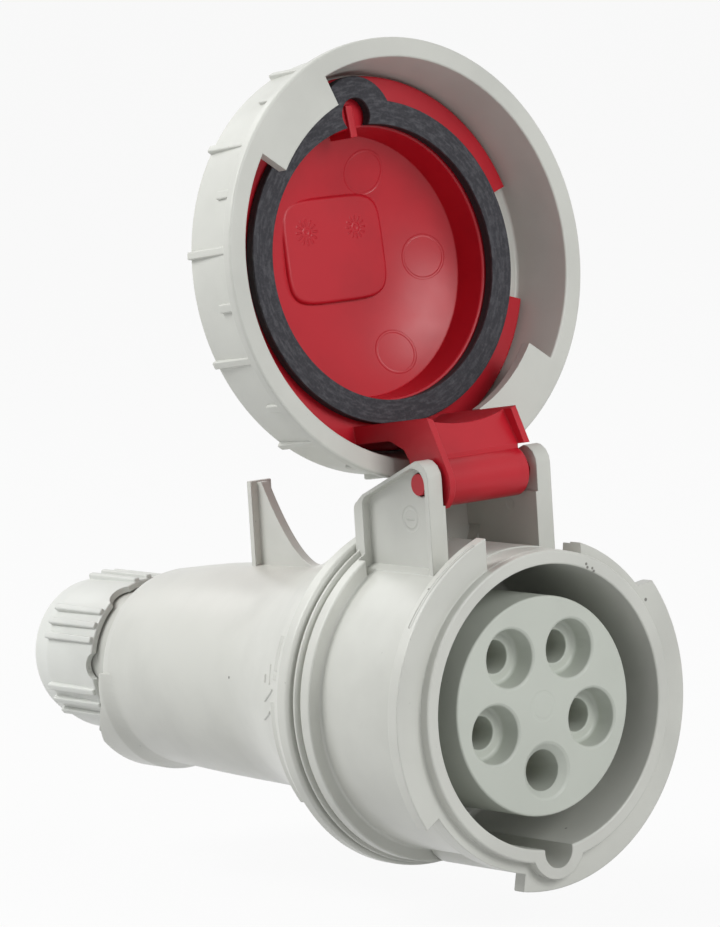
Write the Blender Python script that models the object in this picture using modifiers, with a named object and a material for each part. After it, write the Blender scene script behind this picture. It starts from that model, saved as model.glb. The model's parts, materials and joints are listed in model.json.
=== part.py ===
"""Watertight five-pole cable connector with a hinged lid and a bayonet ring.

Frame: metres, +Z up. The origin is the centre of the collar's front face.
-Y points at the mating plug, +Y runs back to the cable, +X is the right-hand
side seen from the plug. Angles are in degrees, counted from the bottom of the
collar (-Z) towards +X.
"""
import math

import bmesh
import bpy
from mathutils import Euler, Matrix, Vector

MM = 0.001

# Clearances
FIT = 0.3 * MM
SIDE_PLAY = 0.4 * MM

# Collar and its bayonet flange
COLLAR_BORE_R = 32.0 * MM
COLLAR_WALL = 3.5 * MM
RIM_WALL = 3.1 * MM
RIM_STAND = 2.6 * MM
FLANGE_R = 41.8 * MM
FLANGE_T = 3.4 * MM
BAND_R = 37.4 * MM
BAND_END = 8.6 * MM
LEFT_FLANGE_END = -57.0
RIGHT_FLANGE_START = -12.0
RIGHT_FLANGE_END = 123.5
GAP_SINK = 0.4 * MM
ARM_SLOT_HALF = 13.6 * MM
ARM_SLOT_FLOOR_R = 35.2 * MM
SOCKET_DEPTH = 43.0 * MM

# Keyway at the bottom of the collar
KEYWAY_HALF = 4.0 * MM
KEYWAY_CENTRE_R = 32.5 * MM
KEY_RIB_R = 7.5 * MM
KEY_RIB_CENTRE_R = 31.5 * MM
KEY_RIB_END = 37.6 * MM
KEYWAY_END = 36.2 * MM

# Joint between the front and rear housings
RIDGE_R = 38.6 * MM
RIDGE_START = 38.0 * MM
RIDGE_END = 41.5 * MM
BEAD_R = 39.2 * MM
BEAD_START = 42.4 * MM
BEAD_END = 43.7 * MM
JOINT_GROOVE_R = 37.4 * MM
SPIGOT_R = 35.4 * MM
SPIGOT_STEP = 49.8 * MM
SPIGOT_END = 53.0 * MM
SEAL_SEAT_R = 33.7 * MM
SHOULDER_T = 2.0 * MM
LUG_STAND = 1.6 * MM
LUG_COUNT = 3
LUG_SPAN = 18.0
LUG_FIRST = 33.0
LUG_TWIST = 40.0
LUG_START = 46.5 * MM
LUG_T = 2.8 * MM

# Ears of the hinge box
HINGE_Y = 21.8 * MM
HINGE_Z = 50.8 * MM
EAR_INNER = 13.8 * MM
EAR_T = 4.0 * MM
EAR_FRONT = 16.6 * MM
EAR_REAR = 44.0 * MM
EAR_TOP = 56.3 * MM
EAR_SLANT_START = 20.7 * MM
EAR_SLANT_END = 40.7 * MM
EAR_SLANT_DROP = 8.6 * MM
EAR_POCKET = 2.0 * MM
EAR_BORDER = 3.2 * MM
EAR_PIN_RIM = 1.1 * MM
EAR_CHEEK_T = 0.6 * MM
EAR_CHEEK_TOP = 46.0 * MM
BOX_WALL_T = 2.0 * MM

# Contact carrier
CARRIER_R = 24.8 * MM
CARRIER_FACE = 2.5 * MM
CARRIER_FLANGE_T = 3.2 * MM
CARRIER_BACK_R = 27.0 * MM
CARRIER_BACK = 63.0 * MM
COVER_T = 2.2 * MM
PITCH_R = 14.7 * MM
POLE_SPACING = 72.0
POLES = (("earth", 0), ("neutral", 1), ("l3", 2), ("l2", 3), ("l1", 4))

# Live and neutral contacts
LIVE_PIN_R = 3.0 * MM
LIVE_SLEEVE_WALL = 1.15 * MM
LIVE_MOUTH_R = 6.6 * MM
LIVE_MOUTH_DEPTH = 5.7 * MM
LIVE_HOLE_R = 3.75 * MM
LIVE_SLEEVE_START = 18.6 * MM

# Earth contact
EARTH_PIN_R = 4.0 * MM
EARTH_SLEEVE_WALL = 1.15 * MM
EARTH_MOUTH_R = 6.15 * MM
EARTH_MOUTH_DEPTH = 1.8 * MM
EARTH_HOLE_R = 4.7 * MM
EARTH_SLEEVE_START = 16.8 * MM

# Terminals behind the contacts
PIN_CLEARANCE = 0.2 * MM
PIN_DEPTH = 44.5 * MM
TERMINAL_START = 46.3 * MM
TERMINAL_R = 5.4 * MM
WIRE_BORE_R = 2.8 * MM
WIRE_BORE_START = 50.0 * MM
SLIT_W = 0.8 * MM
SLIT_LENGTH = 15.0 * MM
SCREW_R = 1.9 * MM
SCREW_LENGTH = 5.6 * MM
SCREW_TIP = 1.2 * MM
SCREW_Y = (54.0 * MM, 59.5 * MM)

# Rear housing
HOUSING_WALL = 2.7 * MM
HOUSING_BAND_R = 40.1 * MM
HOUSING_BAND_END = 49.0 * MM
HOUSING_BAND_ROUND = 1.2 * MM
FLARE_START_R = 39.5 * MM
FLARE_START_SLOPE = -0.53
FLARE_END = 88.0 * MM
FLARE_END_SLOPE = -0.03
GRIP_R = 26.0 * MM
GRIP_END_R = 25.2 * MM
GRIP_WAIST = 125.0 * MM
GRIP_WAIST_R = 25.1 * MM
HOUSING_END = 139.5 * MM
END_WALL_T = 3.0 * MM
NECK_R = 17.2 * MM
NECK_BORE_R = 13.6 * MM
NECK_END = 160.3 * MM
CABLE_HOLE_R = 10.8 * MM
GROMMET_SEAT = 145.7 * MM
LIP_DROP = 1.8 * MM
LIP_END = 147.2 * MM
LIP_START = 131.0 * MM
LIP_FULL = 137.0 * MM
LIP_TOP_Z = -8.0 * MM
LIP_END_TOP_Z = -20.0 * MM

# Hanging fin on the rear housing
FIN_T = 2.2 * MM
FIN_BAR_Y = 102.0 * MM
FIN_BAR_T = 1.5 * MM
FIN_BAR_HALF = 3.0 * MM
FIN_TOP = 45.6 * MM
FIN_TOP_RUN = 1.6 * MM
FIN_FOOT_Y = 82.0 * MM
FIN_CURVE = 2.5

# Cable gland
NUT_START = 149.0 * MM
NUT_END = 180.2 * MM
NUT_R = 19.2 * MM
NUT_ROUND_START = 170.6 * MM
NUT_NOSE_R = 14.6 * MM
NUT_HOLE_R = 12.0 * MM
NUT_SEAT = 171.0 * MM
NUT_GROUPS = 6
NUT_RIBS_IN_GROUP = 3
NUT_RIB_STEP = 11.0
NUT_RIB_W = 1.6 * MM
NUT_RIB_STAND = 0.8 * MM
NUT_SCALLOP_R = 3.4 * MM
GROMMET_BORE_R = 8.5 * MM
GROMMET_LENGTH = 12.0 * MM
CLAMP_BORE_R = 10.8 * MM
CLAMP_SLOTS = 8
CLAMP_SLOT_W = 2.0 * MM
CLAMP_RING = 3.0 * MM

# Lid, in its closed position
LID_OPEN_ANGLE = 186.9
GASKET_R = 37.1 * MM
GASKET_BORE_R = 31.5 * MM
GASKET_T = 2.8 * MM
GASKET_BUMP_R = 9.3 * MM
GASKET_NOTCH_R = 3.9 * MM
CUP_BORE_R = 31.0 * MM
CUP_DEPTH = 8.2 * MM
CUP_FLOOR_BULGE = 0.9 * MM
CUP_WALL = 2.4 * MM
LID_FLANGE_R = 44.3 * MM
LID_FLANGE_T = 2.2 * MM
LID_GAPS = ((71.0, 107.0), (251.0, 287.0))
LID_NECK_R = 38.2 * MM
SNAP_LEDGE = 0.7 * MM
SNAP_LEDGE_T = 0.9 * MM
FIN_IN_NOTCH_T = 2.0 * MM
FIN_IN_NOTCH_R = 35.5 * MM

# Hinge arm of the lid, in its closed position
ARM_HALF = 12.9 * MM
ARM_PLATE_T = 1.6 * MM
ARM_UNDERSIDE_R = 38.5 * MM
ARM_TOP_Z = 40.4 * MM
ARM_END_R = 7.0 * MM
ARM_WEB_SET = 0.6 * MM
BARREL_R = 5.7 * MM
TRUNNION_R = 2.45 * MM
TRUNNION_HOLE_R = 2.75 * MM
TRUNNION_END = 16.5 * MM

# Bayonet ring, in the lid's closed position
RING_R = 50.0 * MM
RING_LIP_R = 50.8 * MM
RING_LIP_W = 2.6 * MM
RING_BORE_R = 46.6 * MM
RING_RIM_Y = 9.0 * MM
RING_WIDTH = 19.0 * MM
RING_WEB_T = 2.7 * MM
RING_LUG_T = 2.7 * MM
RING_LUG_BORE_R = 38.8 * MM
RING_LUGS = ((-54.0, -21.5), (126.0, 158.5))
RING_RIBS = 12
RING_RIB_FIRST = 8.0
RING_RIB_W = 2.0 * MM
RING_SHORT_RIB = 5.6 * MM

# Facets
ROUND_STEPS = 36
RING_STEPS = 44
GLAND_STEPS = 26
SMALL_STEPS = 12
SCREW_STEPS = 6

# Sizes that follow
RIM_R = COLLAR_BORE_R + RIM_WALL
TUBE_R = COLLAR_BORE_R + COLLAR_WALL
FLANGE_BACK = RIM_STAND + FLANGE_T
SHOULDER_BACK = SOCKET_DEPTH + SHOULDER_T
CARRIER_FLANGE_Y = SHOULDER_BACK + FIT
CARRIER_FLANGE_BACK = CARRIER_FLANGE_Y + CARRIER_FLANGE_T
EAR_OUTER = EAR_INNER + EAR_T
EAR_REAR_TOP = EAR_TOP - EAR_SLANT_DROP
SOCKET_R = SPIGOT_R + FIT
LUG_R = SPIGOT_R + LUG_STAND
HOUSING_START = BEAD_END + 4 * FIT
SEAL_BORE_R = SEAL_SEAT_R + 5 * FIT
LIVE_SLEEVE_R = LIVE_PIN_R + PIN_CLEARANCE + LIVE_SLEEVE_WALL
EARTH_SLEEVE_R = EARTH_PIN_R + PIN_CLEARANCE + EARTH_SLEEVE_WALL
GASKET_FACE = -FIT
GASKET_BACK = GASKET_FACE - GASKET_T
LID_RIM_FACE = GASKET_BACK - FIT
LID_FLANGE_BACK = LID_RIM_FACE - LID_FLANGE_T
RING_WEB_FRONT = LID_FLANGE_BACK - FIT
RING_WEB_BACK = RING_WEB_FRONT - RING_WEB_T
RING_BACK = RING_RIM_Y - RING_WIDTH
RING_WEB_BORE_R = LID_NECK_R + SIDE_PLAY
CUP_FLOOR = LID_RIM_FACE - CUP_DEPTH
HINGE = Vector((0.0, HINGE_Y, HINGE_Z))

ALONG_Y = Euler((-math.pi / 2, 0.0, 0.0))


# Scene set-up and materials

def clear_scene():
    for obj in list(bpy.data.objects):
        bpy.data.objects.remove(obj)
    part = bpy.data.collections.new("cable_connector")
    tools = bpy.data.collections.new("construction")
    bpy.context.scene.collection.children.link(part)
    bpy.context.scene.collection.children.link(tools)
    return part, tools


PART, TOOLS = clear_scene()


def plain_material(name, colour, roughness, metallic=0.0):
    material = bpy.data.materials.new(name)
    material.use_nodes = True
    shader = material.node_tree.nodes["Principled BSDF"]
    shader.inputs["Base Color"].default_value = (*colour, 1.0)
    shader.inputs["Roughness"].default_value = roughness
    shader.inputs["Metallic"].default_value = metallic
    return material


LIGHT_GREY = (0.62, 0.63, 0.58)
CARRIER_GREY = (0.55, 0.58, 0.53)
GLAND_WHITE = (0.68, 0.70, 0.66)
SIGNAL_RED = (0.50, 0.02, 0.03)
RUBBER_BLACK = (0.03, 0.03, 0.035)
BRASS = (0.72, 0.55, 0.25)
STEEL = (0.60, 0.60, 0.58)


# Building blocks

def file_away(obj, material):
    """A piece goes in the part's collection, a tool in the other one."""
    if material is None:
        TOOLS.objects.link(obj)
        obj.hide_render = True
        obj.display_type = "WIRE"
    else:
        PART.objects.link(obj)
        obj.data.materials.append(material)
    return obj


def turned(name, outline, steps, material=None, centre=(0.0, 0.0, 0.0), turn=0.0):
    """A shape turned about the Y axis.

    The outline holds (radius, y) points: the outer side from front to back,
    then the bore from back to front. It is closed unless it meets the axis.
    """
    points = list(reversed(outline))
    on_axis = points[0][0] == 0.0 and points[-1][0] == 0.0
    mesh = bpy.data.meshes.new(name)
    edges = [(i, i + 1) for i in range(len(points) - 1)]
    if not on_axis:
        edges.append((len(points) - 1, 0))
    mesh.from_pydata([(radius, 0.0, y) for radius, y in points], edges, [])
    obj = bpy.data.objects.new(name, mesh)
    obj.rotation_euler = ALONG_Y
    obj.location = centre
    screw = obj.modifiers.new("Turn", "SCREW")
    screw.axis = "Z"
    screw.angle = 2 * math.pi
    screw.steps = steps
    screw.render_steps = steps
    screw.use_merge_vertices = True
    screw.merge_threshold = 0.00001
    screw.use_smooth_shade = True
    if turn:
        obj.rotation_euler = (Matrix.Rotation(math.radians(turn), 3, "Y")
                              @ ALONG_Y.to_matrix()).to_euler()
    return file_away(obj, material)


def extruded(name, outline, axis, low, high, material=None, hole=None):
    """A flat outline pulled along X (points are y, z) or Y (points are x, z)."""
    curve = bpy.data.curves.new(name, "CURVE")
    curve.dimensions = "2D"
    curve.fill_mode = "BOTH"
    curve.extrude = abs(high - low) / 2
    for loop in [outline] + ([hole] if hole else []):
        spline = curve.splines.new("POLY")
        spline.points.add(len(loop) - 1)
        for point, (u, v) in zip(spline.points, loop):
            point.co = (u, v, 0.0, 1.0)
        spline.use_cyclic_u = True
    flat = bpy.data.objects.new(name, curve)
    middle = (low + high) / 2
    if axis == "X":
        frame = Matrix(((0, 0, 1, middle), (1, 0, 0, 0), (0, 1, 0, 0), (0, 0, 0, 1)))
    else:
        frame = Matrix(((1, 0, 0, 0), (0, 0, -1, middle), (0, 1, 0, 0), (0, 0, 0, 1)))
    TOOLS.objects.link(flat)
    flat.matrix_world = frame
    bpy.context.view_layer.update()
    depsgraph = bpy.context.evaluated_depsgraph_get()
    mesh = bpy.data.meshes.new_from_object(flat.evaluated_get(depsgraph))
    mesh.name = name
    weld = bmesh.new()
    weld.from_mesh(mesh)
    bmesh.ops.remove_doubles(weld, verts=weld.verts, dist=0.00001)
    bmesh.ops.recalc_face_normals(weld, faces=weld.faces)
    weld.to_mesh(mesh)
    weld.free()
    mesh.transform(frame)
    bpy.data.objects.remove(flat)
    return file_away(bpy.data.objects.new(name, mesh), material)


def rods(name, axes, radius, steps, material=None):
    """Plain round bars, each from one point to another, in one object."""
    mesh = bpy.data.meshes.new(name)
    shape = bmesh.new()
    for start, end in axes:
        start, end = Vector(start), Vector(end)
        way = end - start
        place = Matrix.Translation((start + end) / 2) @ way.to_track_quat("Z", "Y").to_matrix().to_4x4()
        bmesh.ops.create_cone(shape, cap_ends=True, segments=steps, radius1=radius,
                              radius2=radius, depth=way.length, matrix=place)
    shape.to_mesh(mesh)
    shape.free()
    return file_away(bpy.data.objects.new(name, mesh), material)


def blocks(name, boxes, material=None):
    """Boxes in one object. Each is (low corner, high corner, turn about Y)."""
    mesh = bpy.data.meshes.new(name)
    shape = bmesh.new()
    for low, high, turn in boxes:
        low, high = Vector(low), Vector(high)
        size = Matrix.Diagonal((*(high - low), 1.0))
        place = Matrix.Translation((low + high) / 2)
        bmesh.ops.create_cube(shape, size=1.0,
                              matrix=Matrix.Rotation(math.radians(-turn), 4, "Y") @ place @ size)
    shape.to_mesh(mesh)
    shape.free()
    return file_away(bpy.data.objects.new(name, mesh), material)


def mirrored(obj):
    """The same shape again on the other side of the YZ plane."""
    mirror = obj.modifiers.new("Other side", "MIRROR")
    mirror.use_mirror_merge = False
    mirror.merge_threshold = 0.00001
    return obj


def combine(obj, tool, operation):
    modifier = obj.modifiers.new(tool.name, "BOOLEAN")
    modifier.operation = operation
    modifier.solver = "EXACT"
    modifier.object = tool


def cut(obj, *tools):
    for tool in tools:
        combine(obj, tool, "DIFFERENCE")


def join(obj, *tools):
    for tool in tools:
        combine(obj, tool, "UNION")


def around(radius, angle):
    """The (x, z) point at a radius and an angle counted from the bottom."""
    turn = math.radians(angle)
    return radius * math.sin(turn), -radius * math.cos(turn)


def arc(radius, start, end, count, centre=(0.0, 0.0)):
    """Points (x, z) along an arc about a centre."""
    points = []
    for i in range(count + 1):
        x, z = around(radius, start + (end - start) * i / count)
        points.append((centre[0] + x, centre[1] + z))
    return points


def sector(bore, radius, start, end, slant=0.0):
    """An annular sector outline; the slant turns its inner corners."""
    count = max(2, math.ceil((end - start) / 6))
    outer = arc(radius, start, end, count)
    inner = arc(bore, end + slant, start + slant, count)
    return outer + inner


def flare_radius(y):
    """Outer radius of the rear housing between its band and its grip."""
    length = FLARE_END - HOUSING_BAND_END
    t = (y - HOUSING_BAND_END) / length
    start = (1 + 2 * t) * (1 - t) ** 2
    start_slope = t * (1 - t) ** 2
    end = t * t * (3 - 2 * t)
    end_slope = t * t * (t - 1)
    return (start * FLARE_START_R + start_slope * length * FLARE_START_SLOPE
            + end * GRIP_R + end_slope * length * FLARE_END_SLOPE)


# Front housing

def ear_outline():
    """Side view (y, z) of one ear, with its rounded top corners."""
    foot = COLLAR_BORE_R - 1.8 * MM
    round_r = 4.2 * MM
    points = [(EAR_FRONT, foot)]
    for i in range(5):
        turn = math.radians(180 - 90 * i / 4)
        points.append((EAR_FRONT + round_r + round_r * math.cos(turn),
                       EAR_TOP - round_r + round_r * math.sin(turn)))
    corner = EAR_REAR - EAR_SLANT_END
    slope = EAR_SLANT_DROP / (EAR_SLANT_END - EAR_SLANT_START)
    points.append((EAR_SLANT_END, EAR_REAR_TOP))
    points.append((EAR_REAR - corner * 0.3, EAR_REAR_TOP - corner * (slope + 0.35)))
    points.append((EAR_REAR, EAR_REAR_TOP - corner * 1.3))
    points.append((EAR_REAR, foot))
    return points


def ear_pocket_outline():
    """The hollow on an ear's outer face, rounded about the hinge hole."""
    slope = EAR_SLANT_DROP / (EAR_SLANT_END - EAR_SLANT_START)
    tilt = math.degrees(math.atan(slope))
    recess = TRUNNION_HOLE_R + EAR_PIN_RIM
    rounding = []
    for i in range(5):
        turn = math.radians(90 - tilt + (90 + tilt) * i / 4)
        rounding.append((HINGE_Y + recess * math.cos(turn), HINGE_Z + recess * math.sin(turn)))
    rear = EAR_REAR - EAR_BORDER
    corner = 2.0 * MM
    corner_y = rear - corner
    corner_z = rounding[0][1] - slope * (corner_y - rounding[0][0])
    foot = COLLAR_BORE_R - 4 * MM
    return [(rear, foot), (rear, corner_z - corner),
            (rear - corner * 0.3, corner_z - corner * 0.4), (corner_y, corner_z)] + rounding + [
            (HINGE_Y - recess, foot)]


def front_housing():
    """Collar, bayonet flange, hinge box and spigot, moulded in one piece."""
    outline = [
        (RIM_R - FIT, 0.0),
        (RIM_R, FIT),
        (RIM_R, RIM_STAND),
        (FLANGE_R, RIM_STAND),
        (FLANGE_R, FLANGE_BACK),
        (BAND_R, FLANGE_BACK),
        (BAND_R, BAND_END),
        (TUBE_R, BAND_END + FIT),
        (TUBE_R, RIDGE_START),
        (RIDGE_R, RIDGE_START + FIT),
        (RIDGE_R, RIDGE_END),
        (JOINT_GROOVE_R, RIDGE_END + FIT),
        (JOINT_GROOVE_R, BEAD_START),
        (BEAD_R, BEAD_START + FIT),
        (BEAD_R, BEAD_END - FIT),
        (SPIGOT_R, BEAD_END),
        (SPIGOT_R, SPIGOT_STEP),
        (SEAL_SEAT_R, SPIGOT_STEP),
        (SEAL_SEAT_R, SPIGOT_END),
        (COLLAR_BORE_R, SPIGOT_END),
        (COLLAR_BORE_R, SHOULDER_BACK),
        (CARRIER_R + SIDE_PLAY, SHOULDER_BACK),
        (CARRIER_R + SIDE_PLAY, SOCKET_DEPTH),
        (COLLAR_BORE_R, SOCKET_DEPTH),
        (COLLAR_BORE_R, FIT),
        (COLLAR_BORE_R + FIT, 0.0),
    ]
    housing = turned("front_housing", outline, ROUND_STEPS,
                     plain_material("front_housing", LIGHT_GREY, 0.35))

    # Gaps in the flange let the ring's lugs and the lid's arm pass.
    beyond = FLANGE_R + 2 * MM
    gap_floor = BAND_R - GAP_SINK
    left_gap = extruded("cut_left_gap",
                        sector(gap_floor, beyond, LEFT_FLANGE_END, RIGHT_FLANGE_START),
                        "Y", RIM_STAND - FIT, BAND_END - FIT)
    right_gap = extruded("cut_right_gap",
                         sector(gap_floor, beyond, RIGHT_FLANGE_END, 180.0, slant=4.5),
                         "Y", RIM_STAND - FIT, BAND_END - FIT)
    slot_side = math.degrees(math.asin(ARM_SLOT_HALF / ARM_SLOT_FLOOR_R))
    arm_slot = extruded("cut_arm_slot",
                        [(ARM_SLOT_HALF, beyond), (-ARM_SLOT_HALF, beyond)]
                        + arc(ARM_SLOT_FLOOR_R, slot_side - 180.0, -slot_side - 180.0, 6),
                        "Y", RIM_STAND - FIT, BAND_END + 2 * FIT)
    cut(housing, left_gap, right_gap, arm_slot)

    # Hinge box: two ears, thicker low down, and the wall that ties them.
    cheek_inner = EAR_INNER - EAR_CHEEK_T
    ears = mirrored(extruded("add_ears", ear_outline(), "X", cheek_inner, EAR_OUTER))
    upper = blocks("cut_between_ears", [
        ((-EAR_INNER, EAR_FRONT - MM, EAR_CHEEK_TOP), (EAR_INNER, EAR_REAR + MM, EAR_TOP + MM), 0)])
    cut(ears, upper)
    wall_back = EAR_REAR - FIT
    wall_front = wall_back - BOX_WALL_T
    wall_foot = COLLAR_BORE_R + FIT
    box_wall = extruded("add_box_wall",
                        [(wall_front, wall_foot), (wall_back, wall_foot),
                         (wall_back, EAR_CHEEK_TOP - 2 * MM), (wall_front, EAR_CHEEK_TOP - MM)],
                        "X", -EAR_INNER - FIT, EAR_INNER + FIT)
    join(housing, ears, box_wall)
    pockets = mirrored(extruded("cut_ear_pockets", ear_pocket_outline(), "X",
                                EAR_OUTER - EAR_POCKET, EAR_OUTER + 2 * MM))
    guard_r = TUBE_R + FIT / 2
    tube_guard = turned("keep_tube", [(0.0, 0.0), (guard_r, 0.0), (guard_r, SPIGOT_END), (0.0, SPIGOT_END)],
                        ROUND_STEPS)
    cut(pockets, tube_guard)
    hinge_hole = rods("cut_hinge_hole", [((-EAR_OUTER - MM, HINGE_Y, HINGE_Z),
                                          (EAR_OUTER + MM, HINGE_Y, HINGE_Z))],
                      TRUNNION_HOLE_R, SMALL_STEPS)
    cut(housing, pockets, hinge_hole)

    # Keyway: a rib along the bottom, with the groove for the plug's key in it.
    rib = extruded("add_key_rib", arc(KEY_RIB_R, -100.0, 100.0, 14, (0.0, -KEY_RIB_CENTRE_R)),
                   "Y", 0.0, KEY_RIB_END)
    mid_wall = COLLAR_BORE_R + RIM_WALL / 2
    bore = turned("keep_bore", [(0.0, -MM), (mid_wall, -MM), (mid_wall, KEY_RIB_END + MM),
                                (0.0, KEY_RIB_END + MM)], ROUND_STEPS)
    cut(rib, bore)
    join(housing, rib)
    groove_top = -COLLAR_BORE_R + 3 * MM
    groove = extruded("cut_keyway",
                      arc(KEYWAY_HALF, -90.0, 90.0, 10, (0.0, -KEYWAY_CENTRE_R))
                      + [(KEYWAY_HALF, groove_top), (-KEYWAY_HALF, groove_top)],
                      "Y", -MM, KEYWAY_END)
    cut(housing, groove)

    # Lugs on the spigot hold the rear housing after a short twist.
    for i in range(LUG_COUNT):
        middle = LUG_FIRST + 360.0 / LUG_COUNT * i
        lug = extruded("add_lug_%d" % i,
                       sector(SPIGOT_R - MM, LUG_R, middle - LUG_SPAN / 2, middle + LUG_SPAN / 2),
                       "Y", LUG_START, LUG_START + LUG_T)
        join(housing, lug)
    return housing


# Rear housing

def fin_outline():
    """Side view (y, z) of the fin, with the hollow curve of its front edge."""
    sunk = 1.5 * MM
    foot_z = flare_radius(FIN_FOOT_Y)
    top_front = FIN_BAR_Y - FIN_TOP_RUN
    points = [(FIN_BAR_Y + FIT, GRIP_R - sunk), (FIN_BAR_Y + FIT, FIN_TOP - FIT)]
    for i in range(9):
        t = i / 8
        points.append((top_front + (FIN_FOOT_Y - top_front) * t,
                       foot_z + (FIN_TOP - FIT - foot_z) * (1 - t) ** FIN_CURVE))
    points.append((FIN_FOOT_Y, foot_z - sunk))
    return points


def rear_housing():
    """Flared grip that covers the terminals and ends in the gland's neck."""
    band_start = HOUSING_START
    flare_steps = 6
    span = FLARE_END - HOUSING_BAND_END
    flare = [(flare_radius(HOUSING_BAND_END + span * i / flare_steps),
              HOUSING_BAND_END + span * i / flare_steps) for i in range(flare_steps + 1)]
    inner_start = SPIGOT_END + FIT
    inner_span = FLARE_END - inner_start
    inner = [(flare_radius(inner_start + inner_span * i / 3) - HOUSING_WALL,
              inner_start + inner_span * i / 3) for i in range(4)]
    lug_back = LUG_START + LUG_T + FIT
    outline = [
        (HOUSING_BAND_R - HOUSING_BAND_ROUND, band_start),
        (HOUSING_BAND_R, band_start + HOUSING_BAND_ROUND),
        (HOUSING_BAND_R, HOUSING_BAND_END - HOUSING_BAND_ROUND),
    ]
    outline += flare
    outline += [
        (GRIP_WAIST_R, GRIP_WAIST),
        (GRIP_END_R, HOUSING_END),
        (NECK_R, HOUSING_END),
        (NECK_R, NECK_END),
        (NECK_BORE_R, NECK_END),
        (NECK_BORE_R, GROMMET_SEAT),
        (CABLE_HOLE_R, GROMMET_SEAT),
        (CABLE_HOLE_R, HOUSING_END - END_WALL_T),
        (GRIP_END_R - HOUSING_WALL, HOUSING_END - END_WALL_T),
    ]
    outline += list(reversed(inner))
    outline += [
        (SEAL_BORE_R, inner_start),
        (SEAL_BORE_R, SPIGOT_STEP + FIT),
        (SOCKET_R, SPIGOT_STEP),
        (SOCKET_R, lug_back),
        (LUG_R + FIT, lug_back),
        (LUG_R + FIT, LUG_START - FIT),
        (SOCKET_R, LUG_START - FIT),
        (SOCKET_R, band_start),
    ]
    housing = turned("rear_housing", outline, ROUND_STEPS,
                     plain_material("rear_housing", LIGHT_GREY, 0.35))

    # Entries for the spigot's lugs, a twist away from where the lugs stop.
    for i in range(LUG_COUNT):
        middle = LUG_FIRST + LUG_TWIST + 360.0 / LUG_COUNT * i
        half = LUG_SPAN / 2 + 1.0
        entry = extruded("cut_entry_%d" % i,
                         sector(SOCKET_R - MM, LUG_R + FIT, middle - half, middle + half),
                         "Y", band_start - MM, LUG_START + MM)
        cut(housing, entry)

    # Lower lip under the gland nut: a ring set a little low, open above.
    lip = turned("add_lip", [
        (GRIP_END_R - HOUSING_WALL, LIP_START),
        (GRIP_END_R, LIP_FULL),
        (GRIP_END_R, LIP_END),
        (GRIP_END_R - HOUSING_WALL, LIP_END),
    ], ROUND_STEPS, centre=(0.0, 0.0, -LIP_DROP))
    above = 40 * MM
    open_top = extruded("cut_lip_top", [
        (LIP_START - MM, above), (LIP_START - MM, 0.0), (HOUSING_END - MM, 0.0),
        (HOUSING_END, LIP_TOP_Z), (LIP_END + MM, LIP_END_TOP_Z), (LIP_END + MM, above)],
        "X", -above, above)
    cut(lip, open_top)
    fin = extruded("add_fin", fin_outline(), "X", -FIN_T / 2, FIN_T / 2)
    fin_bar = blocks("add_fin_bar", [((-FIN_BAR_HALF, FIN_BAR_Y, GRIP_R - 2 * MM),
                                      (FIN_BAR_HALF, FIN_BAR_Y + FIN_BAR_T, FIN_TOP), 0)])
    join(fin, fin_bar)
    join(housing, lip, fin)
    return housing


# Contact carrier and its contacts

def pole_angle(place):
    return POLE_SPACING * place


def pole_centre(place):
    x, z = around(PITCH_R, pole_angle(place))
    return (x, 0.0, z)


def carrier_bore(name, place, earth):
    """Stepped hole for one pole: mouth, pin hole, sleeve seat and terminal."""
    if earth:
        mouth_r, mouth_end = EARTH_MOUTH_R, CARRIER_FACE + EARTH_MOUTH_DEPTH
        hole_r, sleeve_r, sleeve_y = EARTH_HOLE_R, EARTH_SLEEVE_R + FIT, EARTH_SLEEVE_START - FIT
        mouth_floor_r = hole_r
    else:
        mouth_r, mouth_end = LIVE_MOUTH_R, CARRIER_FACE + LIVE_MOUTH_DEPTH
        hole_r, sleeve_r, sleeve_y = LIVE_HOLE_R, LIVE_SLEEVE_R + FIT, LIVE_SLEEVE_START - FIT
        mouth_floor_r = mouth_r
    outline = [
        (0.0, CARRIER_FACE - MM),
        (mouth_r, CARRIER_FACE - MM),
        (mouth_r, CARRIER_FACE),
        (mouth_floor_r, mouth_end),
        (hole_r, mouth_end),
        (hole_r, sleeve_y),
        (sleeve_r, sleeve_y),
        (sleeve_r, TERMINAL_START - FIT),
        (TERMINAL_R + FIT, TERMINAL_START - FIT),
        (TERMINAL_R + FIT, CARRIER_BACK + MM),
        (0.0, CARRIER_BACK + MM),
    ]
    return turned(name, outline, SMALL_STEPS, centre=pole_centre(place))


def contact_carrier():
    outline = [
        (0.0, CARRIER_FACE),
        (CARRIER_R, CARRIER_FACE),
        (CARRIER_R, CARRIER_FLANGE_Y),
        (COLLAR_BORE_R - SIDE_PLAY, CARRIER_FLANGE_Y),
        (COLLAR_BORE_R - SIDE_PLAY, CARRIER_FLANGE_BACK),
        (CARRIER_BACK_R, CARRIER_FLANGE_BACK),
        (CARRIER_BACK_R, CARRIER_BACK),
        (0.0, CARRIER_BACK),
    ]
    carrier = turned("contact_carrier", outline, ROUND_STEPS,
                     plain_material("contact_carrier", CARRIER_GREY, 0.45))
    for name, place in POLES:
        cut(carrier, carrier_bore("cut_bore_" + name, place, place == 0))
    access_r = SCREW_R + 2 * FIT
    ways = []
    for name, place in POLES:
        for y in SCREW_Y:
            x, z = around(PITCH_R, pole_angle(place))
            far_x, far_z = around(CARRIER_BACK_R + MM, pole_angle(place))
            ways.append(((x, y, z), (far_x, y, far_z)))
    cut(carrier, rods("cut_screw_access", ways, access_r, SCREW_STEPS))
    return carrier


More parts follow.
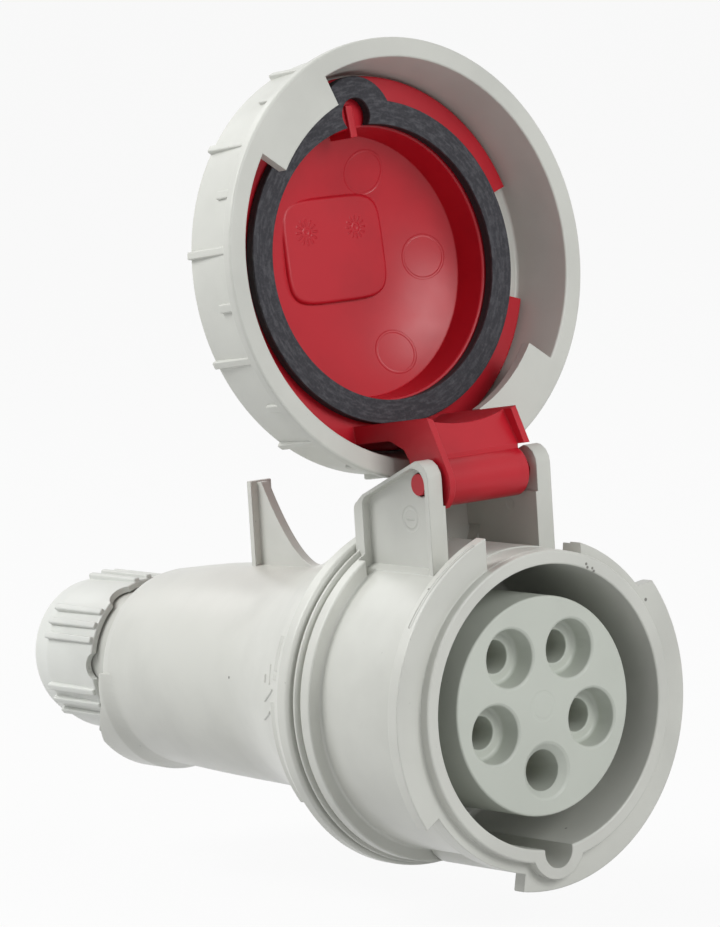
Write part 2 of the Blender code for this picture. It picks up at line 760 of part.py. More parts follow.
def carrier_cover():
    """Disc behind the carrier that keeps the contacts from backing out."""
    start = CARRIER_BACK + FIT
    cover = turned("carrier_cover", [
        (0.0, start), (CARRIER_BACK_R, start), (CARRIER_BACK_R, start + COVER_T), (0.0, start + COVER_T)],
        ROUND_STEPS, plain_material("carrier_cover", CARRIER_GREY, 0.5))
    ways = []
    for name, place in POLES:
        x, y, z = pole_centre(place)
        ways.append(((x, start - MM, z), (x, start + COVER_T + MM, z)))
    cut(cover, rods("cut_wire_ways", ways, WIRE_BORE_R + FIT, SCREW_STEPS))
    return cover


def contact(name, place):
    """Brass sleeve for one pin, with its screw terminal behind."""
    if place == 0:
        bore, radius, start = EARTH_PIN_R + PIN_CLEARANCE, EARTH_SLEEVE_R, EARTH_SLEEVE_START
    else:
        bore, radius, start = LIVE_PIN_R + PIN_CLEARANCE, LIVE_SLEEVE_R, LIVE_SLEEVE_START
    outline = [(0.0, PIN_DEPTH), (bore, PIN_DEPTH), (bore, start), (radius, start)]
    if radius < TERMINAL_R:
        outline += [(radius, TERMINAL_START), (TERMINAL_R, TERMINAL_START)]
    terminal_end = CARRIER_BACK - FIT
    outline += [(TERMINAL_R, terminal_end), (WIRE_BORE_R, terminal_end),
                (WIRE_BORE_R, WIRE_BORE_START), (0.0, WIRE_BORE_START)]
    piece = turned("contact_" + name, outline, SMALL_STEPS, plain_material("contact_" + name, BRASS, 0.3, 1.0),
                   centre=pole_centre(place))
    x, z = around(PITCH_R, pole_angle(place))
    slit = blocks("cut_slit_" + name, [
        ((-radius - MM, start - MM, -PITCH_R - SLIT_W / 2),
         (radius + MM, start + SLIT_LENGTH, -PITCH_R + SLIT_W / 2), pole_angle(place))])
    threads = []
    for y in SCREW_Y:
        far_x, far_z = around(PITCH_R + TERMINAL_R + MM, pole_angle(place))
        threads.append(((x, y, z), (far_x, y, far_z)))
    holes = rods("cut_thread_" + name, threads, SCREW_R + FIT, SCREW_STEPS)
    cut(piece, slit, holes)
    return piece


def terminal_screws(name, place):
    steel = plain_material("terminal_screw_" + name, STEEL, 0.3, 1.0)
    for number, y in enumerate(SCREW_Y, 1):
        x, z = around(PITCH_R + SCREW_TIP, pole_angle(place))
        far_x, far_z = around(PITCH_R + SCREW_TIP + SCREW_LENGTH, pole_angle(place))
        rods("terminal_screw_%s_%d" % (name, number), [((x, y, z), (far_x, y, far_z))],
             SCREW_R, SCREW_STEPS, steel)


def housing_seal():
    """Rubber ring between the spigot and the rear housing."""
    low, high = SEAL_SEAT_R + FIT, SEAL_BORE_R - FIT
    start, end = SPIGOT_STEP + 2 * FIT, SPIGOT_END - FIT
    turned("housing_seal", [(high, start), (high, end), (low, end), (low, start)],
           ROUND_STEPS, plain_material("housing_seal", RUBBER_BLACK, 0.7))


# Cable gland

def gland_nut():
    nut_bore = NECK_R + SIDE_PLAY
    outline = [(NUT_R - FIT, NUT_START), (NUT_R, NUT_START + FIT), (NUT_R, NUT_ROUND_START)]
    rise = NUT_R - NUT_NOSE_R
    run = NUT_END - NUT_ROUND_START
    for i in range(1, 4):
        turn = math.radians(90 * i / 3)
        outline.append((NUT_NOSE_R + rise * math.cos(turn), NUT_ROUND_START + run * math.sin(turn)))
    outline += [(NUT_HOLE_R, NUT_END), (NUT_HOLE_R, NUT_SEAT), (nut_bore, NUT_SEAT), (nut_bore, NUT_START)]
    nut = turned("gland_nut", outline, GLAND_STEPS, plain_material("gland_nut", GLAND_WHITE, 0.4))
    ribs = []
    for group in range(NUT_GROUPS):
        for place in range(NUT_RIBS_IN_GROUP):
            turn = 360.0 / NUT_GROUPS * group + NUT_RIB_STEP * (place - (NUT_RIBS_IN_GROUP - 1) / 2)
            ribs.append(((-NUT_RIB_W / 2, NUT_START + FIT, -NUT_R - NUT_RIB_STAND),
                         (NUT_RIB_W / 2, NUT_ROUND_START, -NUT_R + 4 * FIT), turn))
    join(nut, blocks("add_nut_ribs", ribs))
    scallops = []
    for group in range(NUT_GROUPS):
        turn = 360.0 / NUT_GROUPS * (group + 0.5)
        near_x, near_z = around(NECK_R - MM, turn)
        far_x, far_z = around(NUT_R + 2 * MM, turn)
        y = NUT_START - NUT_SCALLOP_R * 0.35
        scallops.append(((near_x, y, near_z), (far_x, y, far_z)))
    cut(nut, rods("cut_nut_scallops", scallops, NUT_SCALLOP_R, SMALL_STEPS))
    return nut


def gland_inside():
    """Rubber grommet and the fingered clamp ring that the nut presses on it."""
    outer = NECK_BORE_R - FIT
    start = GROMMET_SEAT + FIT
    end = start + GROMMET_LENGTH
    turned("gland_grommet", [(outer, start), (outer, end), (GROMMET_BORE_R, end), (GROMMET_BORE_R, start)],
           GLAND_STEPS, plain_material("gland_grommet", RUBBER_BLACK, 0.75))
    clamp_start = end + FIT
    clamp_end = NUT_SEAT - FIT
    clamp = turned("gland_clamp", [(outer, clamp_start), (outer, clamp_end),
                                   (CLAMP_BORE_R, clamp_end), (CLAMP_BORE_R, clamp_start)],
                   GLAND_STEPS, plain_material("gland_clamp", GLAND_WHITE, 0.5))
    slots = []
    for i in range(CLAMP_SLOTS):
        slots.append(((-CLAMP_SLOT_W / 2, clamp_start + CLAMP_RING, -outer - MM),
                      (CLAMP_SLOT_W / 2, clamp_end + MM, -CLAMP_BORE_R + MM), 360.0 / CLAMP_SLOTS * i))
    cut(clamp, blocks("cut_clamp_slots", slots))
    return clamp


# Lid, gasket and bayonet ring, built closed and then swung open

def arm_outline():
    """Side view (y, z) of the whole arm, lid closed."""
    low = ARM_UNDERSIDE_R - 2.5 * MM
    points = [(LID_FLANGE_BACK + FIT, low), (HINGE_Y + 1.9 * MM, low), (HINGE_Y + 1.9 * MM, low + 0.5 * MM)]
    for angle in (-11, 18, 47, 75, 105, 135, 160, 185):
        turn = math.radians(angle)
        size = ARM_END_R if angle < 60 else ARM_END_R - 0.5 * MM
        points.append((HINGE_Y + size * math.cos(turn), HINGE_Z + size * math.sin(turn)))
    points += [
        (HINGE_Y - 6.5 * MM, HINGE_Z - 5.4 * MM),
        (HINGE_Y - 7.9 * MM, HINGE_Z - 8.0 * MM),
        (RING_RIM_Y, ARM_TOP_Z),
        (LID_FLANGE_BACK + FIT, ARM_TOP_Z),
    ]
    return points


def arm_hollow_outline():
    """What is cut away between the side plates, down to the web and barrel."""
    far = 2 * ARM_END_R
    points = [
        (HINGE_Y - ARM_WEB_SET, HINGE_Z - far),
        (HINGE_Y - ARM_WEB_SET, HINGE_Z - 13.4 * MM),
        (HINGE_Y + 3.0 * MM, HINGE_Z - BARREL_R - FIT),
    ]
    for angle in range(-60, 121, 30):
        turn = math.radians(angle)
        points.append((HINGE_Y + BARREL_R * math.cos(turn), HINGE_Z + BARREL_R * math.sin(turn)))
    points += [(HINGE_Y - BARREL_R, HINGE_Z + far), (HINGE_Y + far, HINGE_Z + far),
               (HINGE_Y + far, HINGE_Z - far)]
    return points


def lid():
    back_y = CUP_FLOOR - CUP_WALL
    dome = [(0.0, back_y - CUP_FLOOR_BULGE)]
    middle = 0.65
    dome.append(((CUP_BORE_R + CUP_WALL) * middle, back_y - CUP_FLOOR_BULGE * (1 - middle ** 2)))
    ledge_r = LID_NECK_R + SNAP_LEDGE
    ledge_y = RING_WEB_BACK - FIT
    outline = dome + [
        (CUP_BORE_R + CUP_WALL - 2 * MM, back_y + 0.4 * MM),
        (CUP_BORE_R + CUP_WALL, back_y + 2.2 * MM),
        (LID_NECK_R - FIT, ledge_y - SNAP_LEDGE_T - MM),
        (ledge_r, ledge_y - SNAP_LEDGE_T),
        (ledge_r, ledge_y),
        (LID_NECK_R, ledge_y + FIT / 3),
        (LID_NECK_R, LID_FLANGE_BACK),
        (LID_FLANGE_R, LID_FLANGE_BACK),
        (LID_FLANGE_R, LID_RIM_FACE),
        (CUP_BORE_R, LID_RIM_FACE),
        (CUP_BORE_R - 0.6 * MM, CUP_FLOOR + 1.2 * MM),
        (CUP_BORE_R - 1.8 * MM, CUP_FLOOR),
    ]
    outline.append(((CUP_BORE_R - 1.8 * MM) * middle, CUP_FLOOR - CUP_FLOOR_BULGE * (1 - middle ** 2)))
    outline.append((0.0, CUP_FLOOR - CUP_FLOOR_BULGE))
    cover = turned("lid", outline, ROUND_STEPS, plain_material("lid", SIGNAL_RED, 0.3))

    gaps = []
    for number, (start, end) in enumerate(LID_GAPS):
        gap = extruded("cut_lid_gap_%d" % number, sector(LID_NECK_R, LID_FLANGE_R + MM, start, end),
                       "Y", LID_FLANGE_BACK - FIT / 2, LID_RIM_FACE + MM)
        gaps.append(gap)
    cut(cover, *gaps)

    # Arm: a block hollowed between two side plates, with a trunnion each side.
    arm = extruded("add_arm", arm_outline(), "X", -ARM_HALF, ARM_HALF)
    hollow_half = ARM_HALF - ARM_PLATE_T
    hollow = extruded("cut_arm_hollow", arm_hollow_outline(), "X", -hollow_half, hollow_half)
    clear_tube = rods("cut_arm_underside", [((0.0, LID_RIM_FACE - FIT, 0.0), (0.0, EAR_REAR, 0.0))],
                      ARM_UNDERSIDE_R, ROUND_STEPS)
    trunnions = rods("add_trunnions", [((-TRUNNION_END, HINGE_Y, HINGE_Z),
                                        (TRUNNION_END, HINGE_Y, HINGE_Z))],
                     TRUNNION_R, SMALL_STEPS)
    cut(arm, hollow, clear_tube)
    join(arm, trunnions)
    join(cover, arm)

    # Small fin that fills the gasket's notch.
    notch_fin = blocks("add_notch_fin", [
        ((-FIN_IN_NOTCH_T / 2, CUP_FLOOR + MM, -FIN_IN_NOTCH_R),
         (FIN_IN_NOTCH_T / 2, GASKET_BACK + 2 * FIT, -CUP_BORE_R + 2 * MM), 0)])
    join(cover, notch_fin)
    return [cover, arm, hollow, clear_tube, trunnions, notch_fin] + gaps


def lobed_circle(radius, lobe_r, lobe_centre_r, count):
    """A circle about the collar's axis with a round lobe at its bottom."""
    cosine = (radius ** 2 + lobe_centre_r ** 2 - lobe_r ** 2) / (2 * radius * lobe_centre_r)
    meet = math.degrees(math.acos(cosine))
    x, z = around(radius, meet)
    lobe_meet = math.degrees(math.atan2(x, -(z + lobe_centre_r)))
    lobe = arc(lobe_r, -lobe_meet, lobe_meet, 10, (0.0, -lobe_centre_r))
    return lobe + arc(radius, meet, 360.0 - meet, count)[1:-1]


def lid_gasket():
    outer = lobed_circle(GASKET_R, GASKET_BUMP_R, KEY_RIB_CENTRE_R, ROUND_STEPS)
    inner = lobed_circle(GASKET_BORE_R, GASKET_NOTCH_R, KEYWAY_CENTRE_R, ROUND_STEPS)
    return extruded("lid_gasket", outer, "Y", GASKET_BACK, GASKET_FACE,
                    plain_material("lid_gasket", RUBBER_BLACK, 0.8), hole=inner)


def bayonet_ring():
    outline = [
        (RING_R, RING_BACK),
        (RING_R, RING_RIM_Y - RING_LIP_W - 0.6 * MM),
        (RING_LIP_R, RING_RIM_Y - RING_LIP_W),
        (RING_LIP_R, RING_RIM_Y - FIT),
        (RING_LIP_R - FIT, RING_RIM_Y),
        (RING_BORE_R, RING_RIM_Y),
        (RING_BORE_R, RING_WEB_FRONT),
        (RING_WEB_BORE_R, RING_WEB_FRONT),
        (RING_WEB_BORE_R, RING_WEB_BACK),
        (RING_BORE_R, RING_WEB_BACK),
        (RING_BORE_R, RING_BACK),
    ]
    ring = turned("bayonet_ring", outline, RING_STEPS, plain_material("bayonet_ring", LIGHT_GREY, 0.35))
    tools = []
    for number, (start, end) in enumerate(RING_LUGS):
        lug = extruded("add_ring_lug_%d" % number,
                       sector(RING_LUG_BORE_R, RING_BORE_R + MM, start, end),
                       "Y", RING_RIM_Y - RING_LUG_T, RING_RIM_Y)
        tools.append(lug)
    ribs = []
    rib_low, rib_high = -RING_LIP_R + FIT / 3, -RING_R + 2 * FIT
    lip_y = RING_RIM_Y - RING_LIP_W + FIT
    for i in range(RING_RIBS):
        turn = RING_RIB_FIRST + 360.0 / RING_RIBS * i
        half_step = 180.0 / RING_RIBS
        ribs.append(((-RING_RIB_W / 2, RING_BACK + MM, rib_low), (RING_RIB_W / 2, lip_y, rib_high), turn))
        ribs.append(((-RING_RIB_W / 2, lip_y - RING_SHORT_RIB, rib_low),
                     (RING_RIB_W / 2, lip_y, rib_high), turn + half_step))
    tools.append(blocks("add_ring_ribs", ribs))
    join(ring, *tools)
    return [ring] + tools


def hang_on_hinge(pieces):
    """Parents the closed lid's pieces to an empty on the hinge and opens it."""
    hinge = bpy.data.objects.new("lid_hinge", None)
    PART.objects.link(hinge)
    hinge.location = HINGE
    bpy.context.view_layer.update()
    closed = hinge.matrix_world.inverted()
    for obj in pieces:
        obj.parent = hinge
        obj.matrix_parent_inverse = closed
    hinge.rotation_euler.x = -math.radians(LID_OPEN_ANGLE)


def sharpen(obj):
    """Smooth shading with crisp edges on a piece's base mesh."""
    if len(obj.data.polygons):
        obj.data.shade_smooth()
        obj.data.set_sharp_from_angle(angle=math.radians(30))


def build():
    front_housing()
    rear_housing()
    contact_carrier()
    carrier_cover()
    for name, place in POLES:
        contact(name, place)
        terminal_screws(name, place)
    housing_seal()
    gland_nut()
    gland_inside()
    hang_on_hinge(lid() + [lid_gasket()] + bayonet_ring())
    for obj in PART.objects:
        if obj.type == "MESH":
            sharpen(obj)
    bpy.context.view_layer.update()


build()
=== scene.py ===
"""Looks of the cable connector: moulded housings, red lid, ribbed ring, materials and light.

Frame: metres, +Z up, -Y towards the mating plug. Angles are in degrees, counted from the
bottom of the collar towards +X. The lid's pieces are modelled closed and then swung open.
"""
import math
import json

import bpy
from mathutils import Matrix, Vector


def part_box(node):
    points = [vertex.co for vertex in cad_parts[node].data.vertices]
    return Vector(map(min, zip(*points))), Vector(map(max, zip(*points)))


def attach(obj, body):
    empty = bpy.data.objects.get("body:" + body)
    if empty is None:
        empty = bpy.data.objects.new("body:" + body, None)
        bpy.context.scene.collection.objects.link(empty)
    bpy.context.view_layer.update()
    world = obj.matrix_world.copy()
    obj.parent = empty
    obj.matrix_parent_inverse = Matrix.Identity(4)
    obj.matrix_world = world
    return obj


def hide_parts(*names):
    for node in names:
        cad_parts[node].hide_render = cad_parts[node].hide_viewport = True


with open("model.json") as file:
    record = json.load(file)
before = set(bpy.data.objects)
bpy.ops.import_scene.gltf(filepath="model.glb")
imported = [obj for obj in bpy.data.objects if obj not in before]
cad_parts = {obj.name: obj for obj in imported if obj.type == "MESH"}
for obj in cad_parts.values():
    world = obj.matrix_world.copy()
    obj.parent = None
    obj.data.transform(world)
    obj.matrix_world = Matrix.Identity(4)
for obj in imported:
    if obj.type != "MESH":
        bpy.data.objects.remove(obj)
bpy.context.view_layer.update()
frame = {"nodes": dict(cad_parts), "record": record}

MM = 0.001
WELD = 0.002 * MM

# Collar
FLANGE_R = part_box("front_housing")[1][0]
BORE_R = 32.0 * MM
RIM_R = 35.1 * MM
TUBE_R = 35.5 * MM
BAND_R = 37.4 * MM
RIM_STAND = 2.6 * MM
FLANGE_BACK = 6.0 * MM
BAND_END = 8.6 * MM
LEFT_FLANGE_END = -57.0
RIGHT_FLANGE_START = -12.0
RIGHT_FLANGE_END = 123.5
ARM_SLOT_HALF = 13.6 * MM
SOCKET_DEPTH = 43.0 * MM
RIDGE_R = 38.6 * MM
BEAD_R = 39.2 * MM
SPIGOT_R = 35.4 * MM
SPIGOT_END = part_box("front_housing")[1][1]
KEY_RIB_R = 7.5 * MM
KEY_RIB_CENTRE_R = 31.5 * MM
KEY_RIB_END = 37.6 * MM
KEYWAY_HALF = 4.0 * MM
KEYWAY_CENTRE_R = 32.5 * MM

# Hinge box
HINGE = Vector(next(joint for joint in frame["record"]["behaviour"]["joints"]
                    if joint["name"] == "lid_hinge")["pos_m"])
EAR_INNER = 13.8 * MM
EAR_OUTER = 17.8 * MM
EAR_FRONT = 16.6 * MM
EAR_REAR = 44.0 * MM
EAR_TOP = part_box("front_housing")[1][2]
EAR_SLANT = (20.7 * MM, 40.7 * MM)
EAR_DROP = 8.6 * MM
EAR_POCKET = 2.0 * MM
EAR_BORDER = 3.2 * MM
CHEEK_TOP = 46.0 * MM
CHEEK_T = 0.6 * MM
WALL_FRONT = 41.7 * MM
WALL_BACK = 43.7 * MM
PIN_HOLE_R = 2.75 * MM
PIN_RECESS_R = 3.85 * MM

# Insert
INSERT_R = 24.8 * MM
INSERT_FACE = 2.5 * MM
PITCH_R = 14.7 * MM
POLE_STEP = 72.0
CARRIER_BACK_R = 31.6 * MM
CARRIER_BACK = 45.3 * MM
CARRIER_STEP = 48.5 * MM
CARRIER_STEM_R = 27.0 * MM
CARRIER_END = 63.0 * MM
# Holes in mm: mouth radius, its depth, floor radius, hole radius, sleeve radius, sleeve start
EARTH_HOLE = (6.15, 1.8, 4.7, 4.7, 5.65, 16.5)
POLE_HOLE = (6.6, 5.7, 6.2, 3.75, 4.65, 18.3)

# Grip
BAND_OUT_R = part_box("rear_housing")[1][0]
BAND_BACK = 49.0 * MM
GRIP_R = 26.0 * MM
GRIP_END_R = 24.6 * MM
GRIP_SAG = 1.4 * MM
GRIP_END = 139.5 * MM
FLARE_END = 88.0 * MM
NECK_R = 17.2 * MM
NECK_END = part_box("rear_housing")[1][1]
FIN_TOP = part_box("rear_housing")[1][2]
FIN_FOOT_Y = 82.0 * MM
FIN_BAR_Y = 102.0 * MM
LIP_END = 147.2 * MM
LIP_START = 132.0 * MM
LIP_BORE_R = 21.5 * MM
LIP_DROP = 1.8 * MM
SAG_START = 100 * MM
MOUTH_R = 35.7 * MM
MOUTH_FRONT = 44.6 * MM
MOUTH_SEAT_R = 35.2 * MM
MOUTH_END = 53.3 * MM
GRIP_FLOOR = 136.5 * MM
GLAND_SEAT = 145.7 * MM
GLAND_SEAT_R = 13.6 * MM
CABLE_WAY_R = 10.8 * MM
# Marks beside the band. Arcs: angles, then y from and to in mm. Lines: angle and y of both ends
ARC_MARKS = ((-116.0, -104.0, 50.3, 52.0), (-102.8, -101.0, 50.3, 52.0), (-93.2, -55.0, 51.3, 53.2))
LINE_MARKS = (((-92.0, 61.4), (-97.3, 54.0)), ((-84.1, 63.1), (-88.5, 57.0)),
              ((-106.3, 57.9), (-98.9, 57.2)), ((-102.3, 61.8), (-99.1, 61.7)))

# Gland nut
NUT_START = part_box("gland_nut")[0][1]
NUT_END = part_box("gland_nut")[1][1]
NUT_R = 19.2 * MM
NUT_BORE_R = 17.6 * MM
NUT_FLOOR = 171.0 * MM
NUT_MOUTH_R = 12.0 * MM
NUT_RIB_HALF = 0.85 * MM
NUT_RIB_END = 168.5 * MM
NUT_RIB_STEP = 11.0
NUT_SIDES = 6

# Lid and ring, closed
OPEN_ANGLE = 186.9
OPENED = (Matrix.Translation(HINGE) @ Matrix.Rotation(math.radians(-OPEN_ANGLE), 4, "X")
          @ Matrix.Translation(-HINGE))
GASKET_FACE = -0.3 * MM
GASKET_BACK = -3.1 * MM
RIM_FACE = -3.4 * MM
LID_FLANGE_BACK = -5.6 * MM
LID_FLANGE_R = 42.9 * MM
LID_NECK_R = 38.2 * MM
LID_GAPS = ((71.0, 107.0), (251.0, 287.0))
CUP_R = 31.0 * MM
CUP_FLOOR = -11.6 * MM
CUP_WALL = 2.4 * MM
BOWL_R = 30.2 * MM
BOWL_SAG = 5.0 * MM
PAD_TOP = -14.9 * MM
KEY_TURN = -3.8
RING_R = 49.6 * MM
RING_LIP_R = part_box("bayonet_ring")[1][0] - 0.4 * MM
RING_BORE_R = 45.9 * MM
RING_ROOT_R = 43.3 * MM
RING_RIM = 9.0 * MM
RING_LIP_T = 2.6 * MM
RING_BACK = -9.3 * MM
RING_WEB = (-5.9 * MM, -8.6 * MM)
RING_WEB_BORE_R = LID_NECK_R + 0.4 * MM
RING_LUGS = ((-54.0, -21.5), (126.0, 158.5))
RIB_COUNT = 12
RIB_FIRST = 8.0
ARM_HALF = 12.9 * MM
ARM_PLATE_T = 1.6 * MM
ARM_TOP = 40.4 * MM
BARREL_R = 5.7 * MM
TRUNNION_R = 2.45 * MM
TRUNNION_END = 16.5 * MM

# Facets: steps round the part, steps round a corner, steps round the ring with its ribs
FINE = 144
SOFT = 4
RIBBED = 176

# Edges turned by more than this many degrees stay sharp in the shading
SHARP_EDGE = 27

# Floor, low enough for the ring of the closed lid
FLOOR_Z = -RING_LIP_R - 1.0 * MM

# Light; each lamp's name, place, width in metres and power in watts
WHITE = (1.0, 1.0, 1.0, 1.0)
FLOOR_GREY = (0.62, 0.62, 0.62, 1.0)
FLOOR_GLOW = 0.93
SKY_LIGHT = 0.30
LAMPS = (("key_left", (-0.85, 0.60, 1.00), 0.7, 15.5),
         ("sheen_back", (-0.10, 1.15, 0.92), 0.5, 1.6),
         ("fill_front", (0.20, -1.25, 0.70), 0.7, 11.2))
LAMP_AIM = (0.0, 0.05, 0.04)

# Camera: place in metres, then azimuth, elevation and roll in degrees
CAMERA_PLACE = (-0.84303, -1.0209, 0.20873)
CAMERA_ANGLES = (-37.86, 6.53, 3.57)
FOCAL_PIXELS = 6000.0
PICTURE_HEIGHT = 927.0
SENSOR = 36.0


# Modelling helpers

def pick(obj):
    bpy.ops.object.select_all(action="DESELECT")
    bpy.context.view_layer.objects.active = obj
    obj.select_set(True)


def around(radius, angle):
    """x and z of a point round the part's axis."""
    turn = math.radians(angle)
    return radius * math.sin(turn), -radius * math.cos(turn)


def arc(radius, start, end, count, centre=(0.0, 0.0)):
    points = []
    for i in range(count + 1):
        x, z = around(radius, start + (end - start) * i / count)
        points.append((centre[0] + x, centre[1] + z))
    return points


def sector(bore, radius, start, end, slant=0.0):
    """Outline of a piece of a ring; the slant turns its inner corners."""
    count = math.ceil((end - start) / 1.5)
    return arc(radius, start, end, count) + arc(bore, end + slant, start + slant, count)


def softened(outline):
    """The outline's points, each corner that has a third value rounded to that radius."""
    points = []
    for i, corner in enumerate(outline):
        here = Vector(corner[:2])
        if len(corner) < 3:
            points.append(here)
            continue
        before, after = outline[i - 1], outline[(i + 1) % len(outline)]
        back, ahead = Vector(before[:2]) - here, Vector(after[:2]) - here
        half = back.angle(ahead) / 2
        room = min(back.length * (0.48 if len(before) > 2 else 0.96),
                   ahead.length * (0.48 if len(after) > 2 else 0.96))
        reach = min(corner[2] / math.tan(half), room)
        radius = reach * math.tan(half)
        middle = here + (back.normalized() + ahead.normalized()).normalized() * radius / math.sin(half)
        start = here + back.normalized() * reach - middle
        end = here + ahead.normalized() * reach - middle
        for k in range(SOFT + 1):
            points.append(middle + start.lerp(end, k / SOFT).normalized() * radius)
    return points


def turned(name, outline, steps=FINE, centre=(0.0, 0.0)):
    """A shape spun about an axis along Y. The outline holds (radius, y) corners."""
    points = softened(outline)
    bpy.ops.object.select_all(action="DESELECT")
    bpy.ops.mesh.primitive_circle_add(vertices=len(points), radius=1.0)
    obj = bpy.context.object
    obj.name = name
    x, z = centre
    for vertex, (radius, y) in zip(obj.data.vertices, points):
        vertex.co = (x + radius, y, z)
    bpy.ops.object.mode_set(mode="EDIT")
    bpy.ops.mesh.select_all(action="SELECT")
    bpy.ops.mesh.spin(steps=steps, angle=2 * math.pi, center=(x, 0.0, z), axis=(0.0, 1.0, 0.0))
    bpy.ops.mesh.select_all(action="SELECT")
    bpy.ops.mesh.remove_doubles(threshold=WELD)
    bpy.ops.mesh.delete_loose()
    bpy.ops.mesh.select_all(action="SELECT")
    bpy.ops.mesh.normals_make_consistent(inside=False)
    bpy.ops.object.mode_set(mode="OBJECT")
    return obj


def slab(name, outline, axis, low, high):
    """A flat outline extruded along X (points are y, z) or along Y (points are x, z)."""
    points = softened(outline)
    bpy.ops.object.select_all(action="DESELECT")
    bpy.ops.mesh.primitive_circle_add(vertices=len(points), radius=1.0, fill_type="NGON")
    obj = bpy.context.object
    obj.name = name
    for vertex, (u, v) in zip(obj.data.vertices, points):
        vertex.co = (low, u, v) if axis == "X" else (u, low, v)
    way = (high - low, 0.0, 0.0) if axis == "X" else (0.0, high - low, 0.0)
    bpy.ops.object.mode_set(mode="EDIT")
    bpy.ops.mesh.select_all(action="SELECT")
    bpy.ops.mesh.extrude_region_move(TRANSFORM_OT_translate={"value": way})
    bpy.ops.mesh.select_all(action="SELECT")
    bpy.ops.mesh.normals_make_consistent(inside=False)
    bpy.ops.object.mode_set(mode="OBJECT")
    return obj


def rod(name, start, end, radius, steps=32):
    """A plain round bar from one point to another."""
    start, end = Vector(start), Vector(end)
    way = end - start
    bpy.ops.object.select_all(action="DESELECT")
    bpy.ops.mesh.primitive_cylinder_add(vertices=steps, radius=radius, depth=way.length,
                                        location=(start + end) / 2,
                                        rotation=way.to_track_quat("Z", "Y").to_euler())
    obj = bpy.context.object
    obj.name = name
    bpy.ops.object.transform_apply(location=True, rotation=True, scale=True)
    return obj


def bar(name, low, high, turn=0.0, soft=0.0):
    """A box with rounded edges, turned about the Y axis to its place round the part."""
    low, high = Vector(low), Vector(high)
    bpy.ops.object.select_all(action="DESELECT")
    bpy.ops.mesh.primitive_cube_add(size=1.0, location=(low + high) / 2)
    obj = bpy.context.object
    obj.name = name
    obj.scale = high - low
    bpy.ops.object.transform_apply(location=True, rotation=True, scale=True)
    if soft:
        bevel = obj.modifiers.new("Rounding", "BEVEL")
        bevel.width = soft
        bevel.segments = 3
        bpy.ops.object.modifier_apply(modifier=bevel.name)
    obj.data.transform(Matrix.Rotation(math.radians(-turn), 4, "Y"))
    return obj


def gathered(name, pieces):
    """Separate shapes as one object."""
    bpy.ops.object.select_all(action="DESELECT")
    for piece in pieces:
        piece.select_set(True)
    bpy.context.view_layer.objects.active = pieces[0]
    bpy.ops.object.join()
    pieces[0].name = name
    return pieces[0]


def shaped(obj, operation, *tools):
    """Joins tools to the piece (UNION) or cuts them out of it (DIFFERENCE)."""
    for tool in tools:
        modifier = obj.modifiers.new(tool.name, "BOOLEAN")
        modifier.operation = operation
        modifier.solver = "EXACT"
        modifier.object = tool
        pick(obj)
        bpy.ops.object.modifier_apply(modifier=modifier.name)
        bpy.data.objects.remove(tool)
    return obj


def dressed(obj, body, finish, slot, *nodes):
    """Smooth normals, material and body for a finished piece; the slot argument is not used."""
    obj.data.materials.clear()
    obj.data.materials.append(finish.material)
    pick(obj)
    bpy.ops.object.shade_smooth_by_angle(angle=math.radians(SHARP_EDGE))
    weights = obj.modifiers.new("Flat faces stay flat", "WEIGHTED_NORMAL")
    weights.keep_sharp = True
    weights.weight = 100
    bpy.ops.object.modifier_apply(modifier=weights.name)
    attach(obj, body)
    if nodes:
        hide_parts(*nodes)


def soften_edges(obj, width, segments, limit):
    """Rounds the edges of a shape that turn by more than the limit, in degrees."""
    bevel = obj.modifiers.new("Rounding", "BEVEL")
    bevel.width = width
    bevel.segments = segments
    bevel.limit_method = "ANGLE"
    bevel.angle_limit = math.radians(limit)
    pick(obj)
    bpy.ops.object.modifier_apply(modifier=bevel.name)


def swung_open(obj):
    """Turns a piece that was modelled on the closed lid back to the open lid's place."""
    obj.data.transform(OPENED)
    return obj


# Materials

class Wire:
    """An output socket of a material; arithmetic on it adds Math nodes."""

    def __init__(self, finish, socket):
        self.finish = finish
        self.socket = socket

    def maths(self, operation, *values):
        return self.finish.node("ShaderNodeMath", {"operation": operation}, dict(enumerate(values)))

    def __add__(self, other):
        return self.maths("ADD", self, other)

    def __sub__(self, other):
        return self.maths("SUBTRACT", self, other)

    def __rsub__(self, other):
        return self.maths("SUBTRACT", other, self)

    def __mul__(self, other):
        return self.maths("MULTIPLY", self, other)

    def __truediv__(self, other):
        return self.maths("DIVIDE", self, other)

    def __pow__(self, other):
        return self.maths("POWER", self, other)

    __radd__ = __add__
    __rmul__ = __mul__

    def size(self):
        return self.maths("ABSOLUTE", self)

    def least(self, other):
        return self.maths("MINIMUM", self, other)

    def most(self, other):
        return self.maths("MAXIMUM", self, other)

    def rise(self, start, end):
        """0 below start, 1 above end, smooth between."""
        return self.finish.node("ShaderNodeMapRange", {"interpolation_type": "SMOOTHSTEP"},
                                {"Value": self, "From Min": start, "From Max": end})

    def near(self, value, width):
        """1 where this is close to a value, falling to 0 at the width."""
        return 1.0 - (self - value).size().rise(width * 0.35, width)


